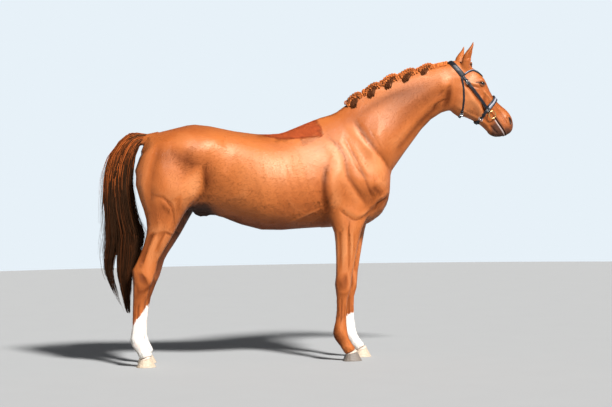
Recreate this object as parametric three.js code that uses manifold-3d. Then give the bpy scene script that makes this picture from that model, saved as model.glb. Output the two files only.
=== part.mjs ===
// A chestnut riding stallion in a snaffle bridle, standing still, at life size.
// Millimetres, +Z up, +X towards the head, +Y to the horse's left.
// The origin is on the ground, under the middle of the horse's bounding box.
//
// The flesh is modelled whole and then parted with thin cuts. Each stretch of it is a loft through
// named stations. A station gives the two ends of its outline in side view, as [x, z], its half width,
// how far up its widest point sits, and how square the outline is above (roof) and below (keel) that.
import * as THREE from 'three';
import { mergeVertices } from 'three/addons/utils/BufferGeometryUtils.js';
import Module from 'manifold-3d';

const wasm = await Module();
wasm.setup();

// Driving dimensions
const GAP = 0.3;                                // clearance between neighbouring pieces
const FORE_SPREAD = 126;                        // middle of each fore leg from the midline
const HIND_SPREAD = 146;                        // middle of each hind leg from the midline
const HEAD_TURN = 8;                            // degrees that the head looks to the left
const POLL_X = 1037;                            // the head turns on the neck here
const EYE = { at: [1220, 86, 1882], radius: 21 };
const STRAP = { lift: 0.4, thick: 4.5, padded: 13 }; // the bridle's leather over the skin

const material = (color, roughness, metalness = 0) => (
  new THREE.MeshStandardMaterial({ color, roughness, metalness })
);
const COAT = material(0xb4602f, 0.5);
const TAIL_HAIR = material(0x4a2416, 0.5);
const HORN = material(0x6e5a49, 0.6);
const EYE_DARK = material(0x1c100a, 0.08);
const LEATHER = material(0x17161a, 0.45);
const BRASS = material(0xc9a45c, 0.25, 1);

// ---------------------------------------------------------------- lofts

// A station's number, blended smoothly from its neighbours at a place between stations.
function blend(stations, read, place) {
  const last = stations.length - 1;
  const low = Math.min(Math.floor(place), last - 1);
  const f = place - low;
  const at = (k) => read(stations[THREE.MathUtils.clamp(k, 0, last)]);
  const [a, b, c, d] = [at(low - 1), at(low), at(low + 1), at(low + 2)];
  return b + 0.5 * f * (c - a + f * (2 * a - 5 * b + 4 * c - d + f * (3 * (b - c) + d - a)));
}

// A closed loft: a sphere whose rings are laid on the stations. Each span between two stations takes
// so many steps, grow swells every ring by that much, and mid sets the whole loft off the midline.
function loft(stations, { around, steps = 1, grow = 0, mid = 0 }) {
  const rings = (stations.length - 1) * steps + 1;
  const geometry = new THREE.SphereGeometry(1, around, rings + 1);
  const position = geometry.getAttribute('position');
  for (let i = 0; i < position.count; i++) {
    const row = Math.floor(i / (around + 1));
    const pole = row === 0 || row === rings + 1;
    const place = THREE.MathUtils.clamp((row - 1) / steps, 0, stations.length - 1);
    const value = (key, usual) => blend(stations, (s) => s[key] ?? usual ?? s.half, place);
    const end = (key) => new THREE.Vector2(...[0, 1].map((k) => blend(stations, (s) => s[key][k], place)));
    const [high, low] = [end('high'), end('low')];
    const middle = high.clone().add(low).multiplyScalar(0.5);
    const depth = high.sub(low).multiplyScalar(0.5);
    depth.setLength(depth.length() + grow);
    const turn = (i % (around + 1)) / around * 2 * Math.PI;
    const [up, out] = pole ? [0, 0] : [Math.cos(turn), Math.sin(turn)];
    const widest = value('widest', 0);
    const square = 2 / (up > 0 ? value('roof', 2) : value('keel', 2));
    const rise = widest + (Math.sign(up) - widest) * Math.abs(up) ** square;
    const half = value(out > 0 ? 'half' : 'inner') + grow;
    const side = Math.sign(out) * half * Math.abs(out) ** square;
    const height = pole ? 0 : rise;
    position.setXYZ(i, middle.x + depth.x * height, mid + side, middle.y + depth.y * height);
  }
  return geometry;
}

// Pushes the surface away from the midline in soft round swellings (hollows where height is negative).
// A swelling is [x, z, radius along x, radius along z, height].
function swell(geometry, swellings) {
  const position = geometry.getAttribute('position');
  for (let i = 0; i < position.count; i++) {
    const y = position.getY(i);
    const push = swellings.reduce((sum, [x, z, wide, tall, height]) => {
      const u = (position.getX(i) - x) / wide;
      const v = (position.getZ(i) - z) / tall;
      return sum + height * Math.exp(-u * u - v * v);
    }, 0);
    position.setY(i, y + Math.tanh(y / 40) * push);
  }
  return geometry;
}

function ellipsoid([x, y, z], [wide, deep, tall], pitch, around, rings) {
  return new THREE.SphereGeometry(1, around, rings)
    .rotateX(Math.PI / 2)
    .scale(wide, deep, tall)
    .rotateY(pitch)
    .translate(x, y, z);
}

// ---------------------------------------------------------------- joining and cutting

function solid(geometry) {
  const bare = geometry.clone();
  bare.deleteAttribute('normal');
  bare.deleteAttribute('uv');
  const merged = mergeVertices(bare, 1e-3);
  const vertProperties = new Float32Array(merged.getAttribute('position').array);
  const triVerts = new Uint32Array(merged.getIndex().array);
  const made = new wasm.Manifold(new wasm.Mesh({ numProp: 3, vertProperties, triVerts }));
  return made.volume() > 0
    ? made
    : new wasm.Manifold(new wasm.Mesh({ numProp: 3, vertProperties, triVerts: triVerts.reverse() }));
}

const join = (pieces) => pieces.reduce((all, next) => all.add(next));
const mirrored = (made) => made.mirror([0, 1, 0]);
const bothSides = (made) => made.add(mirrored(made));

// The biggest body of a solid, without the crumbs that a cut can leave.
const biggest = (cut) => (
  cut.decompose().reduce((best, next) => (next.volume() > best.volume() ? next : best))
);

// Everything on one side of a plane, which is given by a point on it and the way it faces.
const VAST = 6000;
function beyond({ point, facing }, setBack) {
  const box = new THREE.BoxGeometry(VAST, VAST, VAST).translate(0, 0, VAST / 2 + setBack);
  const up = new THREE.Vector3(0, 0, 1);
  const way = new THREE.Vector3(...facing).normalize();
  box.applyQuaternion(new THREE.Quaternion().setFromUnitVectors(up, way));
  return solid(box.translate(...point));
}

// Parts a solid with a thin cut: what lies beyond all of the planes, and what is left.
function parted(whole, ...planes) {
  const region = (setBack) => planes.map((p) => beyond(p, setBack)).reduce((a, b) => a.intersect(b));
  return [whole.intersect(region(GAP / 2)), whole.subtract(region(-GAP / 2))];
}

// ---------------------------------------------------------------- trunk and neck

const TRUNK = [
  { name: 'seat', high: [-1122, 1462], low: [-1108, 1215], half: 112 },
  { name: 'tail head', high: [-1066, 1552], low: [-1050, 1140], half: 186, widest: 0.1 },
  { name: 'pin bone', high: [-985, 1580], low: [-970, 1085], half: 236, widest: 0.15, roof: 2.1 },
  { name: 'haunch', high: [-880, 1606], low: [-872, 1050], half: 262, widest: 0.2, roof: 2.1, keel: 2.1 },
  { name: 'croup', high: [-770, 1630], low: [-770, 1030], half: 268, widest: 0.25, keel: 2.1 },
  { name: 'hip', high: [-660, 1617], low: [-665, 1012], half: 262, widest: 0.3 },
  { name: 'loin', high: [-555, 1595], low: [-560, 980], half: 258, widest: 0.12 },
  { name: 'flank', high: [-446, 1573], low: [-450, 932], half: 276, widest: 0.02, keel: 2.1 },
  { name: 'barrel', high: [-310, 1553], low: [-310, 893], half: 300, widest: -0.04, roof: 1.95, keel: 2.1 },
  { name: 'ribs', high: [-170, 1557], low: [-170, 889], half: 292, widest: -0.06, roof: 1.85, keel: 2.1 },
  { name: 'girth', high: [-40, 1610], low: [-45, 896], half: 260, widest: -0.12, roof: 1.6 },
  { name: 'withers', high: [95, 1666], low: [80, 901], half: 230, widest: -0.15, roof: 1.45 },
  { name: 'blade', high: [225, 1700], low: [210, 905], half: 214, widest: -0.15, roof: 1.45 },
  { name: 'neck base', high: [345, 1640], low: [330, 906], half: 204, widest: -0.15, roof: 1.7 },
  { name: 'breast', high: [462, 1500], low: [430, 924], half: 188, widest: -0.1 },
  { name: 'point of shoulder', high: [552, 1390], low: [516, 980], half: 150, widest: -0.1 },
  { name: 'breastbone', high: [590, 1300], low: [566, 1060], half: 88 },
];

// Haunch, hip bone, hollow of the flank, ribs, shoulder blade, upper arm, point of shoulder, girth groove.
const TRUNK_FORMS = [
  [-900, 1400, 190, 150, 8],
  [-665, 1500, 60, 60, 12],
  [-560, 1330, 90, 170, -14],
  [-250, 1150, 260, 150, 6],
  [190, 1440, 90, 190, 12],
  [130, 1130, 130, 130, 18],
  [430, 1190, 110, 110, 22],
  [20, 1380, 60, 200, -8],
];

const NECK = [
  { name: 'under the blade', high: [60, 1560], low: [440, 1090], half: 140, widest: -0.1, roof: 1.8 },
  { name: 'root', high: [190, 1688], low: [560, 1215], half: 176, widest: -0.25, roof: 1.5 },
  { name: 'base', high: [290, 1757], low: [640, 1338], half: 158, widest: -0.3, roof: 1.45 },
  { name: 'low', high: [400, 1825], low: [692, 1408], half: 126, widest: -0.3, roof: 1.5 },
  { name: 'middle', high: [530, 1893], low: [752, 1484], half: 104, widest: -0.25, roof: 1.6 },
  { name: 'upper', high: [665, 1945], low: [814, 1566], half: 92, widest: -0.2, roof: 1.7 },
  { name: 'top', high: [800, 1985], low: [882, 1634], half: 85, widest: -0.1, roof: 1.8 },
  { name: 'throat', high: [920, 2018], low: [955, 1680], half: 80, roof: 1.9 },
  { name: 'poll', high: [1030, 2036], low: [1025, 1700], half: 74 },
  { name: 'inside the head', high: [1080, 1980], low: [1070, 1760], half: 50 },
];

// Muscle before the shoulder, flat of the neck, wing of the first neck bone, jugular groove.
const NECK_FORMS = [
  [500, 1560, 110, 110, 10],
  [640, 1730, 150, 80, 8],
  [975, 1880, 60, 70, 9],
  [800, 1690, 150, 34, -8],
];

// Tied plaits along the crest. Each sits on the crest line and leans a little to the right.
const PLAITS = { count: 6, from: [368, 1806], to: [912, 2009], bow: 30, size: [55, 27, 37], lean: -9 };

function plaits() {
  const mix = THREE.MathUtils.lerp;
  return Array.from({ length: PLAITS.count }, (_, k) => {
    const share = k / (PLAITS.count - 1);
    const crest = mix(PLAITS.from[1], PLAITS.to[1], share) + PLAITS.bow * Math.sin(Math.PI * share);
    const place = [mix(PLAITS.from[0], PLAITS.to[0], share), PLAITS.lean, crest];
    const size = PLAITS.size.map((radius) => radius * mix(1, 0.74, share ** 3));
    return solid(ellipsoid(place, size, mix(-0.62, -0.24, share), 9, 5));
  });
}

// ---------------------------------------------------------------- head

const HEAD = [
  { name: 'nape', high: [1000, 2028], low: [985, 1735], half: 66, widest: 0.1 },
  { name: 'poll', high: [1062, 2050], low: [1034, 1684], half: 76, widest: 0.1, roof: 2.1 },
  { name: 'ears', high: [1140, 2024], low: [1080, 1654], half: 80, widest: 0.2, roof: 2.2, keel: 1.9 },
  { name: 'forehead', high: [1206, 1984], low: [1122, 1644], half: 88, widest: 0.35, roof: 2.3, keel: 1.8 },
  { name: 'brow', high: [1252, 1932], low: [1158, 1630], half: 92, widest: 0.45, roof: 2.3, keel: 1.7 },
  { name: 'eye', high: [1288, 1874], low: [1194, 1614], half: 84, widest: 0.4, roof: 2.1, keel: 1.8 },
  { name: 'cheek', high: [1320, 1822], low: [1226, 1598], half: 72, widest: 0.25, roof: 1.9, keel: 1.9 },
  { name: 'nasal bone', high: [1353, 1778], low: [1256, 1577], half: 60, widest: 0.1, roof: 1.8 },
  { name: 'bars', high: [1388, 1746], low: [1284, 1552], half: 53, roof: 1.8 },
  { name: 'chin', high: [1424, 1716], low: [1312, 1527], half: 51, roof: 1.9 },
  { name: 'nostril', high: [1454, 1684], low: [1348, 1513], half: 54, widest: 0.1 },
  { name: 'lips', high: [1477, 1642], low: [1392, 1516], half: 50 },
  { name: 'upper lip', high: [1483, 1600], low: [1434, 1526], half: 40 },
  { name: 'lip tip', high: [1477, 1568], low: [1456, 1537], half: 24 },
];

// Cheek, eye socket, hollow over the eye, cheek bone (upper and lower), nostril, hollow before it, ear root.
const HEAD_FORMS = [
  [1138, 1752, 84, 92, 12],
  [1226, 1898, 42, 26, 17],
  [1168, 1950, 26, 24, -7],
  [1250, 1842, 34, 20, 7],
  [1284, 1794, 32, 18, 6],
  [1444, 1640, 26, 40, 9],
  [1366, 1684, 46, 34, -6],
  [1108, 2004, 34, 28, 8],
];

const skull = (grow) => solid(swell(loft(HEAD, { around: 18, steps: 2, grow }), HEAD_FORMS));

const FORELOCK = { at: [1160, -12, 2022], size: [23, 25, 25] };  // tied up between the ears
const MOUTH = { corner: [1330, 1646], front: [1423, 1516], opening: 2.4, tongueHalf: 36, frontWall: 30 };
const NOSTRIL = { at: [1448, 47, 1625], size: [12, 20, 27], pitch: -0.3 };

// The mouth is a thin slot that runs forward and down from its corner, round the front of the lips.
function mouthSlot() {
  const [corner, front] = [MOUTH.corner, MOUTH.front].map(([x, z]) => new THREE.Vector2(x, z));
  const run = front.clone().sub(corner);
  const length = run.length();
  const shut = new THREE.BoxGeometry(length, 2 * MOUTH.tongueHalf, 2 * MOUTH.opening)
    .translate(-MOUTH.frontWall, 0, 0);
  const slot = solid(new THREE.BoxGeometry(length, VAST, MOUTH.opening)).subtract(solid(shut));
  const middle = front.add(corner).multiplyScalar(0.5);
  return slot.rotate([0, THREE.MathUtils.radToDeg(-run.angle()), 0]).translate([middle.x, 0, middle.y]);
}

function nostrils() {
  return bothSides(solid(ellipsoid(NOSTRIL.at, NOSTRIL.size, NOSTRIL.pitch, 9, 5)));
}

function eyeball(grow) {
  const radii = [1, 0.9, 1].map((share) => EYE.radius * share + grow);
  return solid(ellipsoid(EYE.at, radii, 0, 10, 6));
}

// An ear is a scooped leaf. back and front are x, and the scoop opens ahead and outward.
const EAR = [
  { z: 1975, back: 1086, front: 1142, half: 20, aside: 50 },
  { z: 2012, back: 1084, front: 1152, half: 26, aside: 53 },
  { z: 2050, back: 1090, front: 1161, half: 28, aside: 57 },
  { z: 2084, back: 1105, front: 1169, half: 25, aside: 60 },
  { z: 2112, back: 1130, front: 1176, half: 19, aside: 61 },
  { z: 2140, back: 1158, front: 1182, half: 11, aside: 60 },
  { z: 2170, back: 1178, front: 1186, half: 4, aside: 57 },
];
const EAR_SCOOP = { ahead: 13, out: 12, narrow: 0.74 };
const EAR_SET = { right: { back: 4, splay: 5 }, left: { back: 2, splay: 20 } }; // degrees

function ear({ back, splay }) {
  const leaf = (shift, out, share) => EAR.map((s) => {
    const middle = (s.back + s.front) / 2 + shift;
    const reach = (s.front - s.back) / 2 * share;
    const half = s.half * share;
    return { high: [middle + reach, s.z], low: [middle - reach, s.z], half, out: s.aside + out };
  });
  const shape = (stations, around) => {
    const geometry = loft(stations, { around });
    const position = geometry.getAttribute('position');
    for (let i = 0; i < position.count; i++) {
      const row = THREE.MathUtils.clamp(Math.floor(i / (around + 1)) - 1, 0, stations.length - 1);
      position.setY(i, position.getY(i) + stations[row].out);
    }
    return solid(geometry);
  };
  const scoop = shape(leaf(EAR_SCOOP.ahead, EAR_SCOOP.out, EAR_SCOOP.narrow).slice(2, 6), 8);
  const [rootX, rootZ] = [(EAR[0].back + EAR[0].front) / 2, EAR[0].z];
  return shape(leaf(0, 0, 1), 10).subtract(scoop)
    .translate([-rootX, -EAR[0].aside, -rootZ])
    .rotate([-splay, -back, 0])
    .translate([rootX, EAR[0].aside, rootZ]);
}

// ---------------------------------------------------------------- legs

// Fore leg, from inside the shoulder to the pastern. back and front are x; a second z is the back's.
const FORELEG = [
  { name: 'arm', z: [1230, 1230], back: 110, front: 400, half: 58, inner: 50 },
  { name: 'upper elbow', z: [1110, 1110], back: 84, front: 430, half: 82, inner: 66 },
  { name: 'elbow', z: [1010, 1010], back: 96, front: 424, half: 84, inner: 70 },
  { name: 'arm pit', z: [940, 940], back: 138, front: 392, half: 76, inner: 66 },
  { name: 'forearm top', z: [880, 880], back: 166, front: 366, half: 67, inner: 60 },
  { name: 'forearm', z: [807, 807], back: 174, front: 347, half: 61, inner: 55 },
  { name: 'forearm middle', z: [725, 725], back: 178, front: 327, half: 54, inner: 50 },
  { name: 'forearm low', z: [650, 650], back: 178, front: 309, half: 48, inner: 45 },
  { name: 'above the knee', z: [590, 590], back: 177, front: 297, half: 45, inner: 43 },
  { name: 'knee', z: [520, 525], back: 168, front: 288, half: 50, inner: 48 },
  { name: 'knee foot', z: [466, 470], back: 174, front: 277, half: 46, inner: 44 },
  { name: 'under the knee', z: [425, 425], back: 181, front: 261, half: 35, inner: 34 },
  { name: 'cannon', z: [345, 345], back: 180, front: 251, half: 28, inner: 28 },
  { name: 'cannon low', z: [275, 275], back: 171, front: 249, half: 29, inner: 29 },
  { name: 'fetlock top', z: [230, 226], back: 158, front: 251, half: 38, inner: 37 },
  { name: 'fetlock', z: [192, 186], back: 152, front: 255, half: 41, inner: 40 },
  { name: 'ergot', z: [156, 146], back: 168, front: 264, half: 38, inner: 37 },
  { name: 'pastern', z: [120, 98], back: 204, front: 283, half: 33, inner: 32 },
  { name: 'coronet', z: [88, 56], back: 226, front: 308, half: 39, inner: 38 },
  { name: 'in the hoof', z: [60, 30], back: 252, front: 304, half: 30, inner: 30 },
];

// Hind leg, from inside the haunch to the pastern.
const HINDLEG = [
  { name: 'pelvis', z: [1510, 1510], back: -1040, front: -800, half: 66, inner: 50 },
  { name: 'haunch', z: [1420, 1420], back: -1128, front: -748, half: 108, inner: 70 },
  { name: 'buttock', z: [1320, 1320], back: -1168, front: -712, half: 127, inner: 90 },
  { name: 'thigh', z: [1215, 1215], back: -1174, front: -694, half: 137, inner: 110 },
  { name: 'stifle', z: [1120, 1120], back: -1150, front: -742, half: 136, inner: 118 },
  { name: 'under the stifle', z: [1045, 1045], back: -1122, front: -818, half: 122, inner: 112 },
  { name: 'gaskin top', z: [985, 985], back: -1106, front: -858, half: 102, inner: 96 },
  { name: 'gaskin', z: [935, 935], back: -1100, front: -884, half: 86, inner: 82 },
  { name: 'gaskin middle', z: [880, 880], back: -1107, front: -914, half: 72, inner: 68 },
  { name: 'gaskin low', z: [815, 815], back: -1125, front: -954, half: 58, inner: 54 },
  { name: 'second thigh', z: [750, 750], back: -1150, front: -996, half: 48, inner: 46 },
  { name: 'above the hock', z: [700, 700], back: -1175, front: -1022, half: 42, inner: 41 },
  { name: 'point of hock', z: [645, 650], back: -1204, front: -1036, half: 45, inner: 44 },
  { name: 'hock', z: [590, 595], back: -1199, front: -1050, half: 51, inner: 49 },
  { name: 'hock foot', z: [510, 510], back: -1196, front: -1083, half: 46, inner: 44 },
  { name: 'cannon head', z: [450, 450], back: -1198, front: -1104, half: 36, inner: 35 },
  { name: 'cannon', z: [365, 365], back: -1200, front: -1117, half: 30, inner: 30 },
  { name: 'cannon low', z: [282, 282], back: -1203, front: -1122, half: 31, inner: 31 },
  { name: 'fetlock top', z: [232, 230], back: -1213, front: -1121, half: 38, inner: 38 },
  { name: 'fetlock', z: [192, 186], back: -1221, front: -1118, half: 42, inner: 41 },
  { name: 'ergot', z: [158, 146], back: -1210, front: -1108, half: 39, inner: 38 },
  { name: 'pastern', z: [122, 96], back: -1176, front: -1088, half: 33, inner: 32 },
  { name: 'coronet', z: [88, 56], back: -1158, front: -1070, half: 39, inner: 38 },
  { name: 'in the hoof', z: [60, 30], back: -1140, front: -1080, half: 30, inner: 30 },
];

// A limb's feet: step is how far this leg stands ahead, at its top and at the ground.
const FORE = { name: 'fore', stations: FORELEG, spread: FORE_SPREAD, top: 895, sole: 284 };
const HIND = { name: 'hind', stations: HINDLEG, spread: HIND_SPREAD, top: 1000, sole: -1115 };
const LIMBS = [
  { ...FORE, side: 'right', step: [0, 0] },
  { ...FORE, side: 'left', step: [66, 110] },
  { ...HIND, side: 'right', step: [0, 0] },
  { ...HIND, side: 'left', step: [76, 18] },
];

// How far ahead a leg stands at a height: nothing inside the trunk, and its full step at the ground.
const FADE = 350;
function stepAt({ step: [high, low], top }, z) {
  const inside = THREE.MathUtils.smoothstep(z, top, top + FADE);
  return THREE.MathUtils.mapLinear(Math.min(z, top), top, 0, high, low) * (1 - inside);
}

function limbSolid(limb, grow) {
  const stations = limb.stations.map(({ z: [frontZ, backZ], back, front, half, inner }) => {
    const ahead = stepAt(limb, backZ);
    return { high: [front + ahead, frontZ], low: [back + ahead, backZ], half, inner };
  });
  const left = solid(loft(stations, { around: 10, grow, mid: limb.spread }));
  return limb.side === 'left' ? left : mirrored(left);
}

// A hoof is a flat sole, a sloping wall, and a coronet that falls towards the heel.
const HOOF = {
  sole: { toe: 68, heel: 68, half: 61 },
  crown: { toe: 24, heel: 46, half: 45 },
  height: { toe: 80, heel: 44 },
  levels: [0, 0.1, 0.55, 1],
};

function hoofSolid(limb, grow) {
  const { sole, crown, height } = HOOF;
  const middle = limb.sole + stepAt(limb, 0);
  const stations = HOOF.levels.map((share) => {
    const at = (key) => THREE.MathUtils.lerp(sole[key], crown[key], share);
    return {
      high: [middle + at('toe'), height.toe * share],
      low: [middle - at('heel'), height.heel * share],
      half: at('half'),
      keel: 2.6,
    };
  });
  const left = solid(loft(stations, { around: 14, grow, mid: limb.spread }));
  return limb.side === 'left' ? left : mirrored(left);
}

// ---------------------------------------------------------------- tail and sheath

const TAIL = [
  { name: 'dock', high: [-1010, 1566], low: [-1020, 1500], half: 30 },
  { name: 'carried', high: [-1090, 1576], low: [-1075, 1500], half: 38 },
  { name: 'bend', high: [-1180, 1551], low: [-1125, 1470], half: 46 },
  { name: 'fall', high: [-1264, 1500], low: [-1162, 1405], half: 55 },
  { name: 'upper', high: [-1348, 1396], low: [-1186, 1325], half: 64 },
  { name: 'full', high: [-1398, 1256], low: [-1200, 1232], half: 71 },
  { name: 'widest', high: [-1409, 1110], low: [-1182, 1108], half: 75 },
  { name: 'middle', high: [-1400, 985], low: [-1148, 995], half: 74 },
  { name: 'lower', high: [-1384, 860], low: [-1104, 880], half: 68 },
  { name: 'thinning', high: [-1366, 735], low: [-1130, 755], half: 56 },
  { name: 'end', high: [-1346, 600], low: [-1186, 615], half: 43 },
  { name: 'locks', high: [-1312, 470], low: [-1198, 470], half: 31 },
  { name: 'tip', high: [-1258, 350], low: [-1206, 350], half: 14 },
];

const SHEATH = { at: [-700, 0, 1020], size: [78, 44, 30], pitch: -0.1 };

// ---------------------------------------------------------------- bridle

// Each strap is where a band in side view, extruded right across, meets a shell over the head.
// path is [x, z] along the strap's middle, and side limits it to one side of the head.
const CHEEK_PATH = [[1087, 1934], [1177, 1815], [1284, 1685]];
const BROW_PATH = [[1088, 1938], [1130, 1966], [1172, 1978], [1208, 1964], [1234, 1946], [1300, 1922]];
const THROAT_PATH = [[1076, 1934], [1088, 1860], [1091, 1790], [1090, 1706], [1084, 1600]];
const BRIDLE = [
  { name: 'headpiece', path: [[982, 2120], [1004, 2062], [1036, 2006], [1088, 1936]], width: 38 },
  { name: 'cheekpiece', path: CHEEK_PATH, width: 21, side: 'right' },
  { name: 'cheekpiece', path: CHEEK_PATH, width: 21, side: 'left' },
  { name: 'noseband', path: [[1404, 1838], [1352, 1787], [1270, 1708]], width: 40, thick: STRAP.padded },
  { name: 'chin_strap', path: [[1269, 1705], [1230, 1650], [1186, 1572]], width: 24 },
  { name: 'browband', path: BROW_PATH, width: 14 },
  { name: 'throatlash', path: THROAT_PATH, width: 14 },
];
const FAR = 200; // beyond the head's side

// The band's outline in side view, widened by grow, as a block across one side or the whole head.
function band({ path, width, side }, grow) {
  const points = path.map(([x, z]) => new THREE.Vector2(x, z));
  const edge = (reach) => points.map((point, k) => {
    const ahead = points[Math.min(k + 1, points.length - 1)];
    const behind = points[Math.max(k - 1, 0)];
    const run = ahead.clone().sub(behind).normalize();
    const end = k === 0 ? -grow : grow * (k === points.length - 1);
    const aside = new THREE.Vector2(-run.y, run.x).multiplyScalar(reach);
    return point.clone().addScaledVector(run, end).add(aside);
  });
  const reach = width / 2 + grow;
  const outline = new THREE.Shape([...edge(reach), ...edge(-reach).reverse()]);
  const depth = side ? FAR : 2 * FAR;
  const block = new THREE.ExtrudeGeometry(outline, { depth, bevelEnabled: false }).rotateX(Math.PI / 2);
  return solid(block.translate(0, side === 'right' ? 0 : FAR, 0));
}

function bridleStraps() {
  const clear = turned(skull(STRAP.lift)).add(neckSolid(STRAP.lift));
  return BRIDLE.map((strap, k) => {
    const shell = turned(skull(STRAP.lift + (strap.thick ?? STRAP.thick))).subtract(clear);
    const whole = shell.intersect(turned(band(strap, 0)));
    const opposite = (other) => other.side && strap.side && other.side !== strap.side;
    const earlier = BRIDLE.slice(0, k).filter((other) => !opposite(other));
    const left = earlier.reduce((rest, other) => rest.subtract(turned(band(other, GAP))), whole);
    return [strap.side ? `${strap.name}_${strap.side}` : strap.name, left];
  });
}

const RING = { at: [1301, 73.5, 1667], radius: 25, wire: 3.2 };
const bitRing = () => solid(
  new THREE.TorusGeometry(RING.radius, RING.wire, 5, 13).rotateX(Math.PI / 2).translate(...RING.at),
);

// ---------------------------------------------------------------- assembly

const neckSolid = (grow) => solid(swell(loft(NECK, { around: 20, grow }), NECK_FORMS));
const trunkSolid = (grow) => solid(swell(loft(TRUNK, { around: 22, grow }), TRUNK_FORMS));
const limbFlesh = (grow) => LIMBS.map((limb) => limbSolid(limb, grow));

// Head pieces are made looking straight ahead, and then turned about the poll.
const turned = (made) => made.translate([-POLL_X, 0, 0]).rotate([0, 0, HEAD_TURN]).translate([POLL_X, 0, 0]);

function wholeFlesh() {
  const sockets = bothSides(eyeball(GAP));
  const face = skull(0).subtract(mouthSlot()).subtract(nostrils()).subtract(sockets);
  const forelock = solid(ellipsoid(FORELOCK.at, FORELOCK.size, 0, 9, 5));
  const sheath = solid(ellipsoid(SHEATH.at, SHEATH.size, SHEATH.pitch, 9, 5));
  const head = turned(face.add(forelock));
  return join([trunkSolid(0), neckSolid(0), head, sheath, ...limbFlesh(0), ...plaits()]);
}

// Where the flesh is parted. Each leg leaves the trunk just under the elbow or the stifle.
const NAPE = { point: [1018, 0, 1700], facing: [1, 0, 0.04] };
const NECK_ROOT = { point: [262, 0, 1738], facing: [0.78, 0, 0.62] };
const UNDER_ELBOW = { point: [0, 0, 893], facing: [0, 0, -1] };
const AHEAD_OF_GIRTH = { point: [0, 0, 0], facing: [1, 0, 0] };
const UNDER_STIFLE = { point: [0, 0, 1000], facing: [0, 0, -1] };
const BEHIND_SHEATH = { point: [-749, 0, 0], facing: [-1, 0, 0] };

const horse = new THREE.Group();

function add(name, made, finish) {
  const { vertProperties, triVerts } = biggest(made).getMesh();
  const geometry = new THREE.BufferGeometry();
  geometry.setAttribute('position', new THREE.BufferAttribute(vertProperties, 3));
  geometry.setIndex(new THREE.BufferAttribute(triVerts, 1));
  const mesh = new THREE.Mesh(geometry, finish);
  mesh.name = name;
  horse.add(mesh);
}

function addFlesh() {
  const [head, behindHead] = parted(wholeFlesh(), NAPE);
  const [neck, body] = parted(behindHead, NECK_ROOT);
  const [foreLegs, noForeLegs] = parted(body, UNDER_ELBOW, AHEAD_OF_GIRTH);
  const [hindLegs, trunk] = parted(noForeLegs, UNDER_STIFLE, BEHIND_SHEATH);
  add('head', head, COAT);
  add('neck', neck, COAT);
  add('trunk', trunk, COAT);
  for (const limb of LIMBS) {
    const pair = limb.name === 'fore' ? foreLegs : hindLegs;
    const side = { point: [0, 0, 0], facing: [0, limb.side === 'left' ? 1 : -1, 0] };
    const overHoof = hoofSolid(limb, GAP).translate([0, 0, GAP]);
    add(`${limb.name}leg_${limb.side}`, pair.intersect(beyond(side, 0)).subtract(overHoof), COAT);
    add(`hoof_${limb.name}_${limb.side}`, hoofSolid(limb, 0), HORN);
  }
}

function addHeadPieces() {
  const onSide = { right: mirrored, left: (made) => made };
  const across = BRIDLE.filter((strap) => !strap.side).map((strap) => band(strap, GAP));
  const underEars = join([...across, skull(GAP)]);
  for (const [side, put] of Object.entries(onSide)) {
    add(`ear_${side}`, turned(put(ear(EAR_SET[side])).subtract(underEars)), COAT);
    add(`eye_${side}`, turned(put(eyeball(0))), EYE_DARK);
    add(`bit_ring_${side}`, turned(put(bitRing())), BRASS);
  }
  for (const [name, strap] of bridleStraps()) {
    add(name, strap, LEATHER);
  }
}

function addTail() {
  const clear = join([trunkSolid(GAP), ...limbFlesh(GAP)]);
  add('tail', solid(loft(TAIL, { around: 10 })).subtract(clear), TAIL_HAIR);
}

addFlesh();
addHeadPieces();
addTail();

// The group is moved so that the origin is on the ground, under the middle of the bounding box.
const bounds = new THREE.Box3().setFromObject(horse);
const middle = bounds.getCenter(new THREE.Vector3());
horse.position.set(-middle.x, -middle.y, -bounds.min.z);

export default horse;
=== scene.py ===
"""A chestnut riding stallion in a snaffle bridle, life size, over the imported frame."""

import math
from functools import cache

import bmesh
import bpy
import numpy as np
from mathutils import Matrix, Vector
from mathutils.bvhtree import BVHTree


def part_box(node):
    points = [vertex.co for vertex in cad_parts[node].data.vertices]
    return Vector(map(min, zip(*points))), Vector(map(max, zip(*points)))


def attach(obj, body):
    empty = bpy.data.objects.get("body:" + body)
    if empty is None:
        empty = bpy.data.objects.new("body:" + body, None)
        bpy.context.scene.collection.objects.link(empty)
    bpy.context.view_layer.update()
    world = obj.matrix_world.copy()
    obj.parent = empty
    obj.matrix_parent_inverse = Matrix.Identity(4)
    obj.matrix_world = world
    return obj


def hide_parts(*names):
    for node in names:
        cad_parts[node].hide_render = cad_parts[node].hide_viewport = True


bl_info = {
    "name": "Chestnut stallion",
    "version": (1, 0, 0),
    "blender": (4, 5, 0),
    "location": "View3D > Sidebar > Horse",
    "description": "Skin, coat, hair, hooves and bridle of a standing riding horse",
    "category": "Object",
}

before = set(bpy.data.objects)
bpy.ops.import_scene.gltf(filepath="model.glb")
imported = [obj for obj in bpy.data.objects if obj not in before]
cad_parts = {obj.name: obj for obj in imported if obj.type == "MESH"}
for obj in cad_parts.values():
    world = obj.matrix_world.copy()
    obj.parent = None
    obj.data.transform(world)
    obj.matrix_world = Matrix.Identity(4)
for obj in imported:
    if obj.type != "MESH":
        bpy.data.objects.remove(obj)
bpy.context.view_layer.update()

# Places below are in the CAD source's own millimetres, before it was centred and before the head was
# turned. X is measured towards the head, Z from the ground.
MM = 0.001
CENTRE = 35.059  # how far the CAD was moved back along X to centre it
POLL = 1037.0  # the head is turned about the poll
HEAD_TURN = math.radians(8)
EYE = np.array((1220.0, 86.0, 1882.0))
EYE_RADIUS = 21.0
EYE_SLOPE = math.radians(-13)  # the corner nearer the nose is the lower one
HIND_SPREAD = 146  # middle of each hind leg from the midline
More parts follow.
